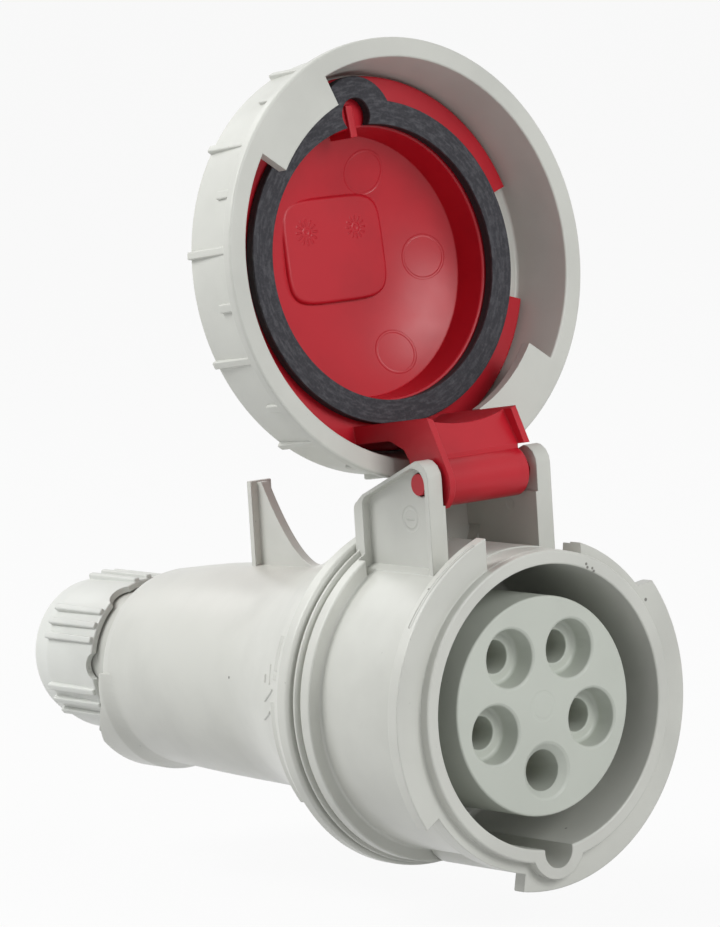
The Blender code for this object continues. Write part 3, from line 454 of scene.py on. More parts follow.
class Nodes:
    """A node tree of a material or of the world; every node comes from one method."""

    def __init__(self, tree):
        self.tree = tree

    def node(self, kind, settings=None, inputs=None, output=0):
        node = self.tree.nodes.new(kind)
        for name, value in (settings or {}).items():
            setattr(node, name, value)
        for name, value in (inputs or {}).items():
            self.feed(node.inputs[name], value)
        return None if output is None else Wire(self, node.outputs[output])

    def feed(self, socket, value):
        if isinstance(value, Wire):
            self.tree.links.new(value.socket, socket)
        else:
            socket.default_value = value

    def background_rays(self):
        """1 for the rays that show the background: camera, glossy and transmission rays."""
        path = self.node("ShaderNodeLightPath").socket.node
        camera, glossy, through = (Wire(self, path.outputs[name]) for name in (
            "Is Camera Ray", "Is Glossy Ray", "Is Transmission Ray"))
        return camera.most(glossy).most(through)


class Finish(Nodes):
    """One material, its Principled shader and the nodes that feed it."""

    def __init__(self, name, colour, roughness, metallic=0.0, specular=0.5):
        self.material = bpy.data.materials.new(name)
        self.material.use_nodes = True
        super().__init__(self.material.node_tree)
        self.shader = self.tree.nodes["Principled BSDF"]
        self.shader.inputs["Base Color"].default_value = (*colour, 1.0)
        self.shader.inputs["Roughness"].default_value = roughness
        self.shader.inputs["Metallic"].default_value = metallic
        self.shader.inputs["Specular IOR Level"].default_value = specular
        self.colour = (*colour, 1.0)
        self.place = self.node("ShaderNodeTexCoord", output="Object")
        split = self.node("ShaderNodeSeparateXYZ", inputs={0: self.place}).socket.node
        self.x, self.y, self.z = (Wire(self, output) for output in split.outputs)

    def noise(self, size, detail=2.0, stretch=(1.0, 1.0, 1.0), place=None):
        scale = tuple(1.0 / (size * share) for share in stretch)
        place = self.node("ShaderNodeMapping", inputs={"Vector": place or self.place, "Scale": scale})
        return self.node("ShaderNodeTexNoise", inputs={"Vector": place, "Scale": 1.0, "Detail": detail})

    def blend(self, share, first, second):
        return self.node("ShaderNodeMix", {"data_type": "RGBA"}, {0: share, 6: first, 7: second},
                         output=2)

    def bearing(self, across, up):
        """Angle round the Y axis in radians, from the up direction."""
        return self.node("ShaderNodeMath", {"operation": "ARCTAN2"}, {0: across, 1: up})

    def distance(self, point):
        """Distance from a point on the piece."""
        return self.node("ShaderNodeVectorMath", {"operation": "DISTANCE"},
                         {0: self.place, 1: point}, output=1)

    def rounded_edges(self, radius):
        """Normals that look rounded at the edges, and a mask of those edges."""
        soft = self.node("ShaderNodeBevel", {"samples": 4}, {"Radius": radius})
        plain = self.node("ShaderNodeNewGeometry", output="Normal")
        match = self.node("ShaderNodeVectorMath", {"operation": "DOT_PRODUCT"},
                          {0: soft, 1: plain}, output=1)
        return soft, (1.0 - match).rise(0.02, 0.25)

    def paint(self, colour=None, roughness=None, height=None, normal=None):
        """Feeds the shader. A height is in metres."""
        if colour is not None:
            self.feed(self.shader.inputs["Base Color"], colour)
        if roughness is not None:
            self.feed(self.shader.inputs["Roughness"], roughness)
        if height is not None:
            inputs = {"Strength": 1.0, "Distance": 1.0, "Height": height}
            if normal is not None:
                inputs["Normal"] = normal
            normal = self.node("ShaderNodeBump", inputs=inputs)
        if normal is not None:
            self.feed(self.shader.inputs["Normal"], normal)
        return self


def shade(colour, share):
    return (*(part * share for part in colour[:3]), 1.0)


def moulded_plastic(name, colour, roughness, edge=1.12, soil=0.90, softness=0.35, specular=0.5):
    """Injection-moulded plastic: fine grain, slow waviness, faint soiling and pale edges."""
    finish = Finish(name, colour, roughness, specular=specular)
    normal, edges = finish.rounded_edges(softness * MM)
    grain = finish.noise(0.35 * MM, 3.0)
    waves = finish.noise(14 * MM, 1.0)
    clouds = finish.noise(22 * MM, 4.0)
    specks = finish.noise(1.6 * MM, 1.0).rise(0.80, 0.86)
    tone = finish.blend(clouds.rise(0.35, 0.75), finish.colour, shade(colour, soil))
    tone = finish.blend(edges * 0.6, tone, shade(colour, edge))
    tone = finish.blend(specks * 0.5, tone, shade(colour, 0.45))
    finish.marks = grain * (0.004 * MM) + waves * (0.05 * MM)
    finish.soft_normal = normal
    finish.tone = tone
    gloss = finish.noise(5 * MM, 3.0) * 0.12 + (roughness - 0.06)
    return finish.paint(tone, gloss, finish.marks, normal)


# Colours of the plastics, rubber and metals, in linear light
LIGHT_GREY = (0.605, 0.613, 0.57)
GREEN_GREY = (0.535, 0.565, 0.51)
GLAND_WHITE = (0.66, 0.675, 0.64)
SIGNAL_RED = (0.50, 0.010, 0.022)
CHARCOAL = (0.028, 0.028, 0.034)
BRASS = (0.72, 0.55, 0.25)
STEEL = (0.60, 0.60, 0.58)
SPECK_BROWN = (0.06, 0.055, 0.045, 1.0)
GASKET_DUST = (0.070, 0.070, 0.080, 1.0)
# Painted shade for the gasket's sides, darker than the rubber itself
GASKET_SIDE_SHADE = (0.008, 0.008, 0.010, 1.0)
RUBBER_GRAIN = (0.05, 0.05, 0.05, 1.0)

# Ejector circles in the lid: x and height from its axis, in mm. Date marks: the same and their radius
EJECTOR_CIRCLES = ((22.4, 0.3), (10.6, -20.8), (8.3, 21.4))
DATE_MARKS = ((-9.8, 9.1, 3.2), (4.4, 9.0, 2.8))

# Dark specks in the housing's plastic: x, y, z and radius, in mm
DARK_SPOTS = (
    (31.9, 2.6, 19.8, 0.50), (-34.4, 0.0, 25.6, 0.40), (12.8, 0.0, 30.6, 0.42), (13.1, 0.0, 29.8, 0.42),
    (14.5, 0.0, 29.4, 0.40), (14.9, 0.0, 28.7, 0.42), (10.8, 10.0, -30.4, 0.5), (-26.0, 84.5, 3.6, 0.42),
    (-26.6, 72.2, -7.9, 0.36), (24.1, 2.6, -26.5, 0.35), (-28.9, 4.6, 30.1, 0.35), (30.8, 2.6, -5.5, 0.3))


def lid_point(x, up, depth):
    """World place, lid open, of a point on the closed lid: x, up from the axis, depth along Y."""
    return OPENED @ Vector((x, depth, -up))


def lid_level(finish):
    """The closed lid's y of each point on the open lid."""
    centre = lid_point(0.0, 0.0, 0.0)
    out = lid_point(0.0, 0.0, 1.0) - centre
    return finish.y * out.y + finish.z * out.z - centre.dot(out)


def red_plastic():
    """Red lid plastic, with the ejector circles and round date marks of its mould."""
    finish = moulded_plastic("signal_red_plastic", SIGNAL_RED, 0.34, edge=1.35, soil=0.82, softness=0.4,
                             specular=0.38)
    level = lid_level(finish)
    centre = lid_point(0.0, 0.0, 0.0)
    radius = (finish.x ** 2.0 + (finish.z - centre.z) ** 2.0) ** 0.5
    floor_level = ((radius / BOWL_R).least(1.0) ** 3.0) * BOWL_SAG + (CUP_FLOOR - BOWL_SAG)
    inside = (level - floor_level).rise(-1.4 * MM, -0.7 * MM)
    height = finish.marks
    for x, up in EJECTOR_CIRCLES:
        far = finish.distance(lid_point(x * MM, up * MM, -14.4 * MM))
        height = height + far.near(5.0 * MM, 0.40 * MM) * inside * (-0.07 * MM)
    for x, up, radius in DATE_MARKS:
        centre = lid_point(x * MM, up * MM, PAD_TOP)
        far = finish.distance(centre)
        angle = finish.bearing(finish.x - centre.x, finish.z - centre.z)
        rays = (angle * 12.0).maths("COSINE", angle * 12.0).rise(0.2, 0.8)
        star = rays * far.rise(1.3 * MM, 1.6 * MM) * (1.0 - far.rise((radius - 0.3) * MM, radius * MM))
        height = height + star * (0.10 * MM) + far.near(0.8 * MM, 0.4 * MM) * (0.08 * MM)
    return finish.paint(height=height, normal=finish.soft_normal)


def housing_plastic():
    """Grey housing plastic; a shallow ramp line runs round the flange's left half."""
    finish = moulded_plastic("light_grey_plastic", LIGHT_GREY, 0.32)
    angle = finish.bearing(finish.x, 0.0 - finish.z)
    radius = (finish.x ** 2.0 + finish.z ** 2.0) ** 0.5
    start, end = math.radians(-156.0), math.radians(-123.0)
    along = angle.rise(start - 0.02, start) * (1.0 - angle.rise(end, end + 0.02))
    line_y = (angle - start) / (end - start) * (1.0 * MM) + 3.2 * MM
    groove = (finish.y - line_y).size().rise(0.20 * MM, 0.50 * MM)
    outer = radius.rise(FLANGE_R - 0.5 * MM, FLANGE_R - 0.3 * MM)
    height = finish.marks + (1.0 - groove) * along * outer * (-0.55 * MM)
    for side in (-1.0, 1.0):
        centre = (side * (EAR_OUTER - EAR_POCKET), 26.0 * MM, 42.8 * MM)
        far = finish.distance(centre)
        height = height + far.near(2.6 * MM, 0.5 * MM) * (-0.12 * MM)
        bar_mark = (finish.z - centre[2]).near(0.0, 0.35 * MM) * (1.0 - far.rise(1.2 * MM, 1.5 * MM))
        height = height + bar_mark * (0.12 * MM)
    spots = 0.0
    for x, y, z, size in DARK_SPOTS:
        far = finish.distance((x * MM, y * MM, z * MM))
        spots = (1.0 - far.rise(size * 0.6 * MM, size * MM)) + spots
    tone = finish.blend(spots.least(1.0) * 0.75, finish.tone, SPECK_BROWN)
    return finish.paint(colour=tone, height=height, normal=finish.soft_normal)


def insert_plastic():
    """Green-grey plastic with one shallow ring mark in the middle of the insert's face."""
    finish = moulded_plastic("green_grey_plastic", GREEN_GREY, 0.46, edge=1.10, soil=0.94, softness=0.3)
    far = finish.distance((0.0, INSERT_FACE, 0.0))
    height = finish.marks + far.near(3.1 * MM, 0.6 * MM) * (-0.06 * MM)
    return finish.paint(height=height, normal=finish.soft_normal)


def gasket_rubber():
    """Charcoal rubber with a streaky, slightly dusty skin round the lid's axis; its sides get painted
    shade, near black.
    """
    finish = Finish("charcoal_rubber", CHARCOAL, 0.72)
    centre = lid_point(0.0, 0.0, 0.0)
    up = finish.z - centre.z
    angle = finish.bearing(finish.x, up)
    radius = (finish.x ** 2.0 + up ** 2.0) ** 0.5
    sweep = finish.node("ShaderNodeCombineXYZ", inputs={0: angle * (34 * MM), 1: radius, 2: finish.y})
    streaks = finish.noise(1.1 * MM, 4.0, (2.2, 0.6, 1.0), sweep)
    mottle = finish.noise(0.6 * MM, 5.0)
    dust = streaks.rise(0.42, 0.72) * 0.6 + mottle.rise(0.45, 0.75) * 0.4
    tone = finish.blend(dust, finish.colour, GASKET_DUST)
    # Painted shade: off its front face, the gasket's sides are coloured near black as if in shadow
    face = lid_level(finish).rise(GASKET_FACE - 0.75 * MM, GASKET_FACE - 0.25 * MM)
    tone = finish.blend(face, GASKET_SIDE_SHADE, tone)
    height = (streaks * (0.10 * MM) + mottle * (0.05 * MM)) * face
    return finish.paint(tone, 0.85 - dust * 0.2, height)


def black_rubber():
    finish = Finish("black_rubber_moulded", CHARCOAL, 0.7)
    grain = finish.noise(0.5 * MM, 4.0)
    return finish.paint(finish.blend(grain, finish.colour, RUBBER_GRAIN),
                        grain * 0.2 + 0.6, grain * (0.02 * MM))


def turned_metal(name, colour, roughness):
    """Metal from the lathe: fine tool rings and patches of tarnish."""
    finish = Finish(name, colour, roughness, 1.0)
    rings = finish.noise(0.25 * MM, 2.0, (8.0, 1.0, 8.0))
    tarnish = finish.noise(3 * MM, 4.0)
    tone = finish.blend(tarnish.rise(0.4, 0.7), finish.colour, shade(colour, 0.72))
    return finish.paint(tone, tarnish * 0.2 + (roughness - 0.08), rings * (0.006 * MM))


HOUSING_PLASTIC = housing_plastic()
RING_PLASTIC = moulded_plastic("ring_grey_plastic", LIGHT_GREY, 0.36)
INSERT_PLASTIC = insert_plastic()
GLAND_PLASTIC = moulded_plastic("gland_white_plastic", GLAND_WHITE, 0.38)
RED_PLASTIC = red_plastic()
GASKET_RUBBER = gasket_rubber()
BLACK_RUBBER = black_rubber()
CONTACT_BRASS = turned_metal("turned_brass", BRASS, 0.30)
SCREW_STEEL = turned_metal("plated_steel", STEEL, 0.32)


# Front housing

def ear_outline():
    """Side of a hinge ear as (y, z) corners."""
    foot = BORE_R - 1.8 * MM
    slant_end = EAR_SLANT[1]
    rear_top = EAR_TOP - EAR_DROP
    return [(EAR_FRONT, foot), (EAR_FRONT, EAR_TOP, 4.2 * MM), (EAR_SLANT[0] + 0.2 * MM, EAR_TOP),
            (slant_end, rear_top, 1.5 * MM), (EAR_REAR, rear_top - 2.6 * MM, 2.0 * MM), (EAR_REAR, foot)]


def ear_pocket_outline():
    """The flat recess on the outside of an ear, rounded over the hinge pin."""
    slope = EAR_DROP / (EAR_SLANT[1] - EAR_SLANT[0])
    tilt = math.degrees(math.atan(slope))
    rounding = []
    for i in range(13):
        turn = math.radians(90 - tilt + (90 + tilt) * i / 12)
        rounding.append((HINGE.y + PIN_RECESS_R * math.cos(turn), HINGE.z + PIN_RECESS_R * math.sin(turn)))
    rear = EAR_REAR - EAR_BORDER
    corner_z = rounding[0][1] - slope * (rear - rounding[0][0])
    foot = BORE_R - 4 * MM
    return [(rear, foot), (rear, corner_z, 2.2 * MM)] + rounding + [(HINGE.y - PIN_RECESS_R, foot)]


def collar_housing():
    shell = turned("collar_shell", [
        (RIM_R, 0.0, 0.45 * MM), (RIM_R, RIM_STAND, 0.2 * MM),
        (FLANGE_R, RIM_STAND, 0.3 * MM), (FLANGE_R, FLANGE_BACK, 0.4 * MM),
        (BAND_R, FLANGE_BACK, 0.3 * MM), (BAND_R, BAND_END, 0.3 * MM),
        (TUBE_R, BAND_END + 0.3 * MM, 0.5 * MM),
        (TUBE_R, 38.0 * MM, 0.6 * MM), (RIDGE_R, 38.3 * MM, 0.5 * MM), (RIDGE_R, 41.5 * MM, 0.4 * MM),
        (37.4 * MM, 41.8 * MM, 0.2 * MM), (37.4 * MM, 42.4 * MM, 0.2 * MM),
        (BEAD_R, 42.7 * MM, 0.3 * MM), (BEAD_R, 43.4 * MM, 0.3 * MM),
        (SPIGOT_R, 43.7 * MM), (SPIGOT_R, SPIGOT_END), (BORE_R, SPIGOT_END), (BORE_R, 45.0 * MM),
        (INSERT_R + 0.4 * MM, 45.0 * MM), (INSERT_R + 0.4 * MM, SOCKET_DEPTH, 0.5 * MM),
        (BORE_R, SOCKET_DEPTH, 1.0 * MM), (BORE_R, 0.0, 0.45 * MM)])
    gap_floor = BAND_R + 0.3 * MM
    beyond = FLANGE_R + 2 * MM
    front = RIM_STAND - 0.3 * MM
    shaped(shell, "DIFFERENCE",
           slab("left_gap", sector(gap_floor, beyond, LEFT_FLANGE_END, RIGHT_FLANGE_START),
                "Y", front, BAND_END - 0.3 * MM),
           slab("right_gap", sector(gap_floor, beyond, RIGHT_FLANGE_END, 180.0, 4.5),
                "Y", front, BAND_END - 0.3 * MM),
           slab("arm_slot", [(ARM_SLOT_HALF, beyond), (-ARM_SLOT_HALF, beyond)]
                + arc(35.2 * MM, -157.3, -202.7, 30), "Y", front, BAND_END + 0.6 * MM))

    for side in (-1, 1):
        near, far = sorted((side * (EAR_INNER - CHEEK_T), side * EAR_OUTER))
        ear = slab("ear", ear_outline(), "X", near, far)
        inner = sorted((0.0, side * EAR_INNER))
        upper = bar("above_cheek", (inner[0], EAR_FRONT - MM, CHEEK_TOP),
                    (inner[1], EAR_REAR + MM, EAR_TOP + MM))
        shaped(shell, "UNION", shaped(ear, "DIFFERENCE", upper))
    shaped(shell, "DIFFERENCE", slab("box_floor", sector(TUBE_R + 0.05 * MM, RIDGE_R + MM, 159.5, 200.5),
                                     "Y", 37.4 * MM, 42.0 * MM))
    wall = slab("box_wall", [(WALL_FRONT, BORE_R + 0.3 * MM), (WALL_BACK, BORE_R + 0.3 * MM),
                             (WALL_BACK, CHEEK_TOP - MM, 0.6 * MM),
                             (WALL_FRONT, CHEEK_TOP - 0.2 * MM, 0.6 * MM)],
                "X", -EAR_INNER - 0.3 * MM, EAR_INNER + 0.3 * MM)
    shaped(shell, "UNION", wall)
    for side in (-1, 1):
        near, far = sorted((side * (EAR_OUTER - EAR_POCKET), side * (EAR_OUTER + 2 * MM)))
        pocket = slab("ear_pocket", ear_pocket_outline(), "X", near, far)
        guard = rod("tube_guard", (0.0, 0.0, 0.0), (0.0, SPIGOT_END, 0.0), TUBE_R + 0.15 * MM, FINE)
        shaped(shell, "DIFFERENCE", shaped(pocket, "DIFFERENCE", guard))
    hole_end = EAR_OUTER + MM
    shaped(shell, "DIFFERENCE", rod("pin_hole", (-hole_end, HINGE.y, HINGE.z), (hole_end, HINGE.y, HINGE.z),
                                    PIN_HOLE_R, 40))

    rib = slab("key_rib", arc(KEY_RIB_R, -100.0, 100.0, 40, (0.0, -KEY_RIB_CENTRE_R)),
               "Y", 0.0, KEY_RIB_END)
    inside = rod("inside", (0.0, -MM, 0.0), (0.0, KEY_RIB_END + MM, 0.0), 33.55 * MM, FINE)
    shaped(shell, "UNION", shaped(rib, "DIFFERENCE", inside))
    top = -BORE_R + 3 * MM
    groove = slab("keyway", arc(KEYWAY_HALF, -90.0, 90.0, 28, (0.0, -KEYWAY_CENTRE_R))
                  + [(KEYWAY_HALF, top), (-KEYWAY_HALF, top)], "Y", -MM, 36.2 * MM)
    shaped(shell, "DIFFERENCE", groove)
    dressed(shell, "housing", HOUSING_PLASTIC, "housing_grey", "front_housing")


# Insert with the pin holes

def insert():
    block = turned("pin_insert", [
        (0.0, INSERT_FACE), (INSERT_R, INSERT_FACE, 0.5 * MM), (INSERT_R, CARRIER_BACK),
        (CARRIER_BACK_R, CARRIER_BACK), (CARRIER_BACK_R, CARRIER_STEP), (CARRIER_STEM_R, CARRIER_STEP),
        (CARRIER_STEM_R, CARRIER_END), (0.0, CARRIER_END)])
    face = INSERT_FACE / MM
    for place in range(5):
        mouth, depth, floor_r, hole, sleeve, seat = POLE_HOLE if place else EARTH_HOLE
        bore = turned("bore", [(r * MM, y * MM, soft * MM) if soft else (r * MM, y * MM) for r, y, soft in (
            (0.0, face - 1.0, 0), (mouth + 0.6, face - 1.0, 0), (mouth + 0.6, face - 0.01, 0),
            (mouth, face + 0.35, 0.5), (floor_r, face + depth, 0.9), (hole, face + depth + 0.01, 0.3),
            (hole, seat, 0), (sleeve, seat, 0), (sleeve, 46.0, 0), (5.7, 46.0, 0), (5.7, 64.0, 0),
            (0.0, 64.0, 0))], 56, around(PITCH_R, POLE_STEP * place))
        shaped(block, "DIFFERENCE", bore)
    dressed(block, "housing", INSERT_PLASTIC, "carrier_grey", "contact_carrier")


# Grip

def flare_radius(y):
    """Outer radius between the band and the straight grip."""
    start_r, start_slope, end_slope = 39.5 * MM, -0.53, -0.03
    length = FLARE_END - BAND_BACK
    t = (y - BAND_BACK) / length
    return ((1 + 2 * t) * (1 - t) ** 2 * start_r + t * (1 - t) ** 2 * length * start_slope
            + t * t * (3 - 2 * t) * GRIP_R + t * t * (t - 1) * length * end_slope)


def on_flare(angle, y):
    """A point on the flare, just under its surface."""
    x, z = around(flare_radius(y) - 0.05 * MM, angle)
    return x, y, z


def turn_marks():
    """Raised lines beside the band, which show how far to twist the two housings together."""
    marks = []
    for start, end, low, high in ARC_MARKS:
        crest = flare_radius(low * MM) - 0.25 * MM
        marks.append(slab("arc_mark", sector(crest - 3.5 * MM, crest, start, end),
                          "Y", low * MM, high * MM))
    for start, end in LINE_MARKS:
        marks.append(rod("line_mark", on_flare(start[0], start[1] * MM), on_flare(end[0], end[1] * MM),
                         0.35 * MM, 12))
    return marks


def end_lip():
    """The hood that stands out below the cable's end of the grip, open on top."""
    lip = turned("end_lip", [
        (22.6 * MM, LIP_START), (GRIP_END_R, 138.0 * MM, 3.0 * MM), (GRIP_END_R, LIP_END, 0.6 * MM),
        (LIP_BORE_R, LIP_END, 0.4 * MM), (LIP_BORE_R, LIP_START)], FINE, (0.0, -LIP_DROP))
    above = 40 * MM
    open_top = slab("lip_opening", [(125.0 * MM, above), (125.0 * MM, 0.0), (138.5 * MM, 0.0),
                                    (GRIP_END, -8.0 * MM, 1.0 * MM), (LIP_END + MM, -20.0 * MM),
                                    (LIP_END + MM, above)], "X", -above, above)
    return shaped(lip, "DIFFERENCE", open_top)


def hanging_fin():
    """The curved web on top of the grip, with the upright bar at its end."""
    foot_z = flare_radius(FIN_FOOT_Y)
    top_front = FIN_BAR_Y - 1.6 * MM
    curve = []
    for i in range(25):
        t = i / 24
        curve.append((top_front + (FIN_FOOT_Y - top_front) * t,
                      foot_z + (FIN_TOP - 0.3 * MM - foot_z) * (1 - t) ** 1.75))
    web = slab("fin_web", [(FIN_BAR_Y + 0.3 * MM, 24.5 * MM), (FIN_BAR_Y + 0.3 * MM, FIN_TOP - 0.3 * MM)]
               + curve + [(FIN_FOOT_Y, foot_z - 1.5 * MM)], "X", -1.1 * MM, 1.1 * MM)
    post = slab("fin_post", [(FIN_BAR_Y, 24.0 * MM), (FIN_BAR_Y, FIN_TOP, 0.3 * MM),
                             (FIN_BAR_Y + 1.5 * MM, FIN_TOP, 0.3 * MM), (FIN_BAR_Y + 1.5 * MM, 24.0 * MM)],
                "X", -3.0 * MM, 3.0 * MM)
    return shaped(web, "UNION", post)


def grip_housing():
    flare = []
    for i in range(25):
        y = BAND_BACK + (FLARE_END - BAND_BACK) * i / 24
        flare.append((flare_radius(y), y))
    inner = []
    for i in range(5):
        y = FLARE_END + (MOUTH_END - FLARE_END) * i / 4
        inner.append((flare_radius(y) - 2.7 * MM, y))
    grip = turned("grip_shell", [
        (BAND_OUT_R, MOUTH_FRONT, 0.9 * MM), (BAND_OUT_R, BAND_BACK - MM, 0.5 * MM)] + flare + [
        (25.75 * MM, 100.0 * MM), (25.4 * MM, 110.0 * MM), (25.0 * MM, 117.0 * MM),
        (24.6 * MM, 122.0 * MM), (24.2 * MM, 127.0 * MM), (23.8 * MM, 132.0 * MM),
        (23.5 * MM, GRIP_FLOOR, 3.0 * MM), (23.0 * MM, GRIP_END, 1.2 * MM),
        (NECK_R, GRIP_END, 0.4 * MM), (NECK_R, NECK_END, 0.4 * MM),
        (GLAND_SEAT_R, NECK_END), (GLAND_SEAT_R, GLAND_SEAT), (CABLE_WAY_R, GLAND_SEAT),
        (CABLE_WAY_R, GRIP_FLOOR), (20.0 * MM, GRIP_FLOOR), (21.0 * MM, 130.0 * MM),
        (22.5 * MM, 112.0 * MM)] + inner + [
        (MOUTH_SEAT_R, MOUTH_END), (MOUTH_SEAT_R, 50.1 * MM), (MOUTH_R, 49.8 * MM), (MOUTH_R, MOUTH_FRONT)])
    for vertex in grip.data.vertices:
        x, y, z = vertex.co
        if SAG_START < y < GRIP_END + 0.1 * MM and math.hypot(x, z) > 19.5 * MM:
            vertex.co.z -= GRIP_SAG * ((y - SAG_START) / (GRIP_END - SAG_START)) ** 2
    shaped(grip, "UNION", end_lip(), hanging_fin(), *turn_marks())
    dressed(grip, "housing", HOUSING_PLASTIC, "housing_grey", "rear_housing")


# Gland nut

def nut():
    body = turned("ribbed_nut", [
        (NUT_R, NUT_START, 0.5 * MM), (NUT_R - 0.5 * MM, 168.0 * MM, 8.0 * MM),
        (16.9 * MM, 175.6 * MM, 5.0 * MM), (13.2 * MM, NUT_END, 1.6 * MM),
        (NUT_MOUTH_R, NUT_END, 0.8 * MM), (NUT_MOUTH_R, NUT_FLOOR),
        (NUT_BORE_R, NUT_FLOOR), (NUT_BORE_R, NUT_START, 0.3 * MM)], FINE)
    ribs = []
    for group in range(NUT_SIDES):
        for place in (-1, 0, 1):
            ribs.append(bar("rib", (-NUT_RIB_HALF, NUT_START + 0.3 * MM, -NUT_R - 0.8 * MM),
                            (NUT_RIB_HALF, NUT_RIB_END, -NUT_R + 1.4 * MM),
                            60.0 * group + NUT_RIB_STEP * place, 0.5 * MM))
    shaped(body, "UNION", gathered("nut_ribs", ribs))
    scallops = []
    for group in range(NUT_SIDES):
        turn = 60.0 * group + 30.0
        near_x, near_z = around(NECK_R - MM, turn)
        far_x, far_z = around(NUT_R + 2 * MM, turn)
        y = NUT_START - 1.2 * MM
        scallops.append(rod("scallop", (near_x, y, near_z), (far_x, y, far_z), 3.4 * MM, 40))
    shaped(body, "DIFFERENCE", gathered("nut_scallops", scallops))
    dressed(body, "gland_nut", GLAND_PLASTIC, "gland_white", "gland_nut")


# Lid

def arm_outline():
    """Side of the lid's hinge arm as (y, z) corners, rounded over the hinge pin."""
    low = 36.0 * MM
    points = [(LID_FLANGE_BACK + 0.3 * MM, low), (HINGE.y + 1.9 * MM, low),
              (HINGE.y + 1.9 * MM, low + 0.5 * MM)]
    for i in range(15):
        angle = -11 + 196 * i / 14
        turn = math.radians(angle)
        size = (7.0 if angle < 60 else 6.5) * MM
        points.append((HINGE.y + size * math.cos(turn), HINGE.z + size * math.sin(turn)))
    return points + [
        (HINGE.y - 6.5 * MM, HINGE.z - 5.4 * MM), (HINGE.y - 7.9 * MM, HINGE.z - 8.0 * MM, 1.5 * MM),
        (RING_RIM, ARM_TOP, 2.5 * MM), (LID_FLANGE_BACK + 0.3 * MM, ARM_TOP)]


def arm_hollow_outline():
    """What is cut from between the arm's two side plates, up to the barrel round the pin."""
    far = 14 * MM
    set_back = 0.6 * MM
    points = [(HINGE.y - set_back, HINGE.z - far), (HINGE.y - set_back, HINGE.z - 13.4 * MM),
              (HINGE.y + 3.0 * MM, HINGE.z - BARREL_R - 0.3 * MM)]
    for i in range(25):
        turn = math.radians(-60 + 7.5 * i)
        points.append((HINGE.y + BARREL_R * math.cos(turn), HINGE.z + BARREL_R * math.sin(turn)))
    return points + [(HINGE.y - BARREL_R, HINGE.z + far), (HINGE.y + far, HINGE.z + far),
                     (HINGE.y + far, HINGE.z - far)]


def bowl(radius):
    """Closed-lid y of the cup's hollow floor."""
    return CUP_FLOOR - BOWL_SAG * (1 - (radius / BOWL_R) ** 3)


def hinge_arm():
    arm = slab("arm", arm_outline(), "X", -ARM_HALF, ARM_HALF)
    hollow_half = ARM_HALF - ARM_PLATE_T
    shaped(arm, "DIFFERENCE",
           slab("arm_hollow", arm_hollow_outline(), "X", -hollow_half, hollow_half),
           rod("arm_underside", (0.0, RIM_FACE - 0.3 * MM, 0.0), (0.0, EAR_REAR, 0.0), 38.5 * MM, FINE))
    barrel_end = hollow_half - 0.15 * MM
    shaped(arm, "DIFFERENCE", bar("plate_end", (barrel_end, HINGE.y - 10 * MM, HINGE.z - 5.9 * MM),
                                  (ARM_HALF + MM, HINGE.y + 12 * MM, HINGE.z + 10 * MM)))
    return shaped(arm, "UNION", rod("trunnions", (-TRUNNION_END, HINGE.y, HINGE.z),
                                    (TRUNNION_END, HINGE.y, HINGE.z), TRUNNION_R, 40))


def raised_pad():
    """The bare pad in the cup, a square with strongly rounded corners."""
    outline = []
    for i in range(72):
        turn = 2 * math.pi * i / 72
        side, rise = math.cos(turn), math.sin(turn)
        reach = (abs(side) ** 5 + abs(rise) ** 5) ** -0.2
        outline.append((-2.2 * MM + 14.4 * MM * side * reach, -4.6 * MM + 12.2 * MM * rise * reach))
    pad = slab("raised_pad", outline, "Y", PAD_TOP - 2.2 * MM, PAD_TOP)
    soften_edges(pad, 0.9 * MM, 4, 40)
    return pad


def red_lid():
    dome = []
    outer = CUP_R + CUP_WALL
    back = CUP_FLOOR - CUP_WALL
    for share in (0.0, 0.2, 0.4, 0.6, 0.8):
        dome.append((outer * share, back - BOWL_SAG * (1 - share ** 2)))
    floor = []
    for i in range(1, 19):
        radius = BOWL_R * (1 - i / 18)
        floor.append((radius, bowl(radius)))
    ledge = LID_NECK_R + 0.7 * MM
    cup = turned("lid_cup", dome + [
        (outer - MM, back + 0.2 * MM, 2.0 * MM), (outer, back + 3.0 * MM, 1.0 * MM),
        (LID_NECK_R - 0.3 * MM, -10.8 * MM), (ledge, -9.8 * MM, 0.3 * MM), (ledge, -8.9 * MM, 0.3 * MM),
        (LID_NECK_R, -8.8 * MM), (LID_NECK_R, LID_FLANGE_BACK), (LID_FLANGE_R, LID_FLANGE_BACK, 0.3 * MM),
        (LID_FLANGE_R, RIM_FACE, 0.5 * MM), (CUP_R, RIM_FACE, 0.6 * MM), (BOWL_R, CUP_FLOOR, 0.25 * MM)]
        + floor)
    for start, end in LID_GAPS:
        shaped(cup, "DIFFERENCE", slab("flange_gap", sector(LID_NECK_R, LID_FLANGE_R + MM, start, end),
                                       "Y", LID_FLANGE_BACK - 0.15 * MM, RIM_FACE + MM))
    shaped(cup, "UNION", hinge_arm())
    shaped(cup, "UNION", raised_pad(),
           bar("notch_fin", (-1.0 * MM, CUP_FLOOR + MM, -36.5 * MM),
               (1.0 * MM, GASKET_BACK + 0.6 * MM, -29.0 * MM), KEY_TURN, 0.3 * MM))
    dressed(swung_open(cup), "lid", RED_PLASTIC, "lid_red", "lid")


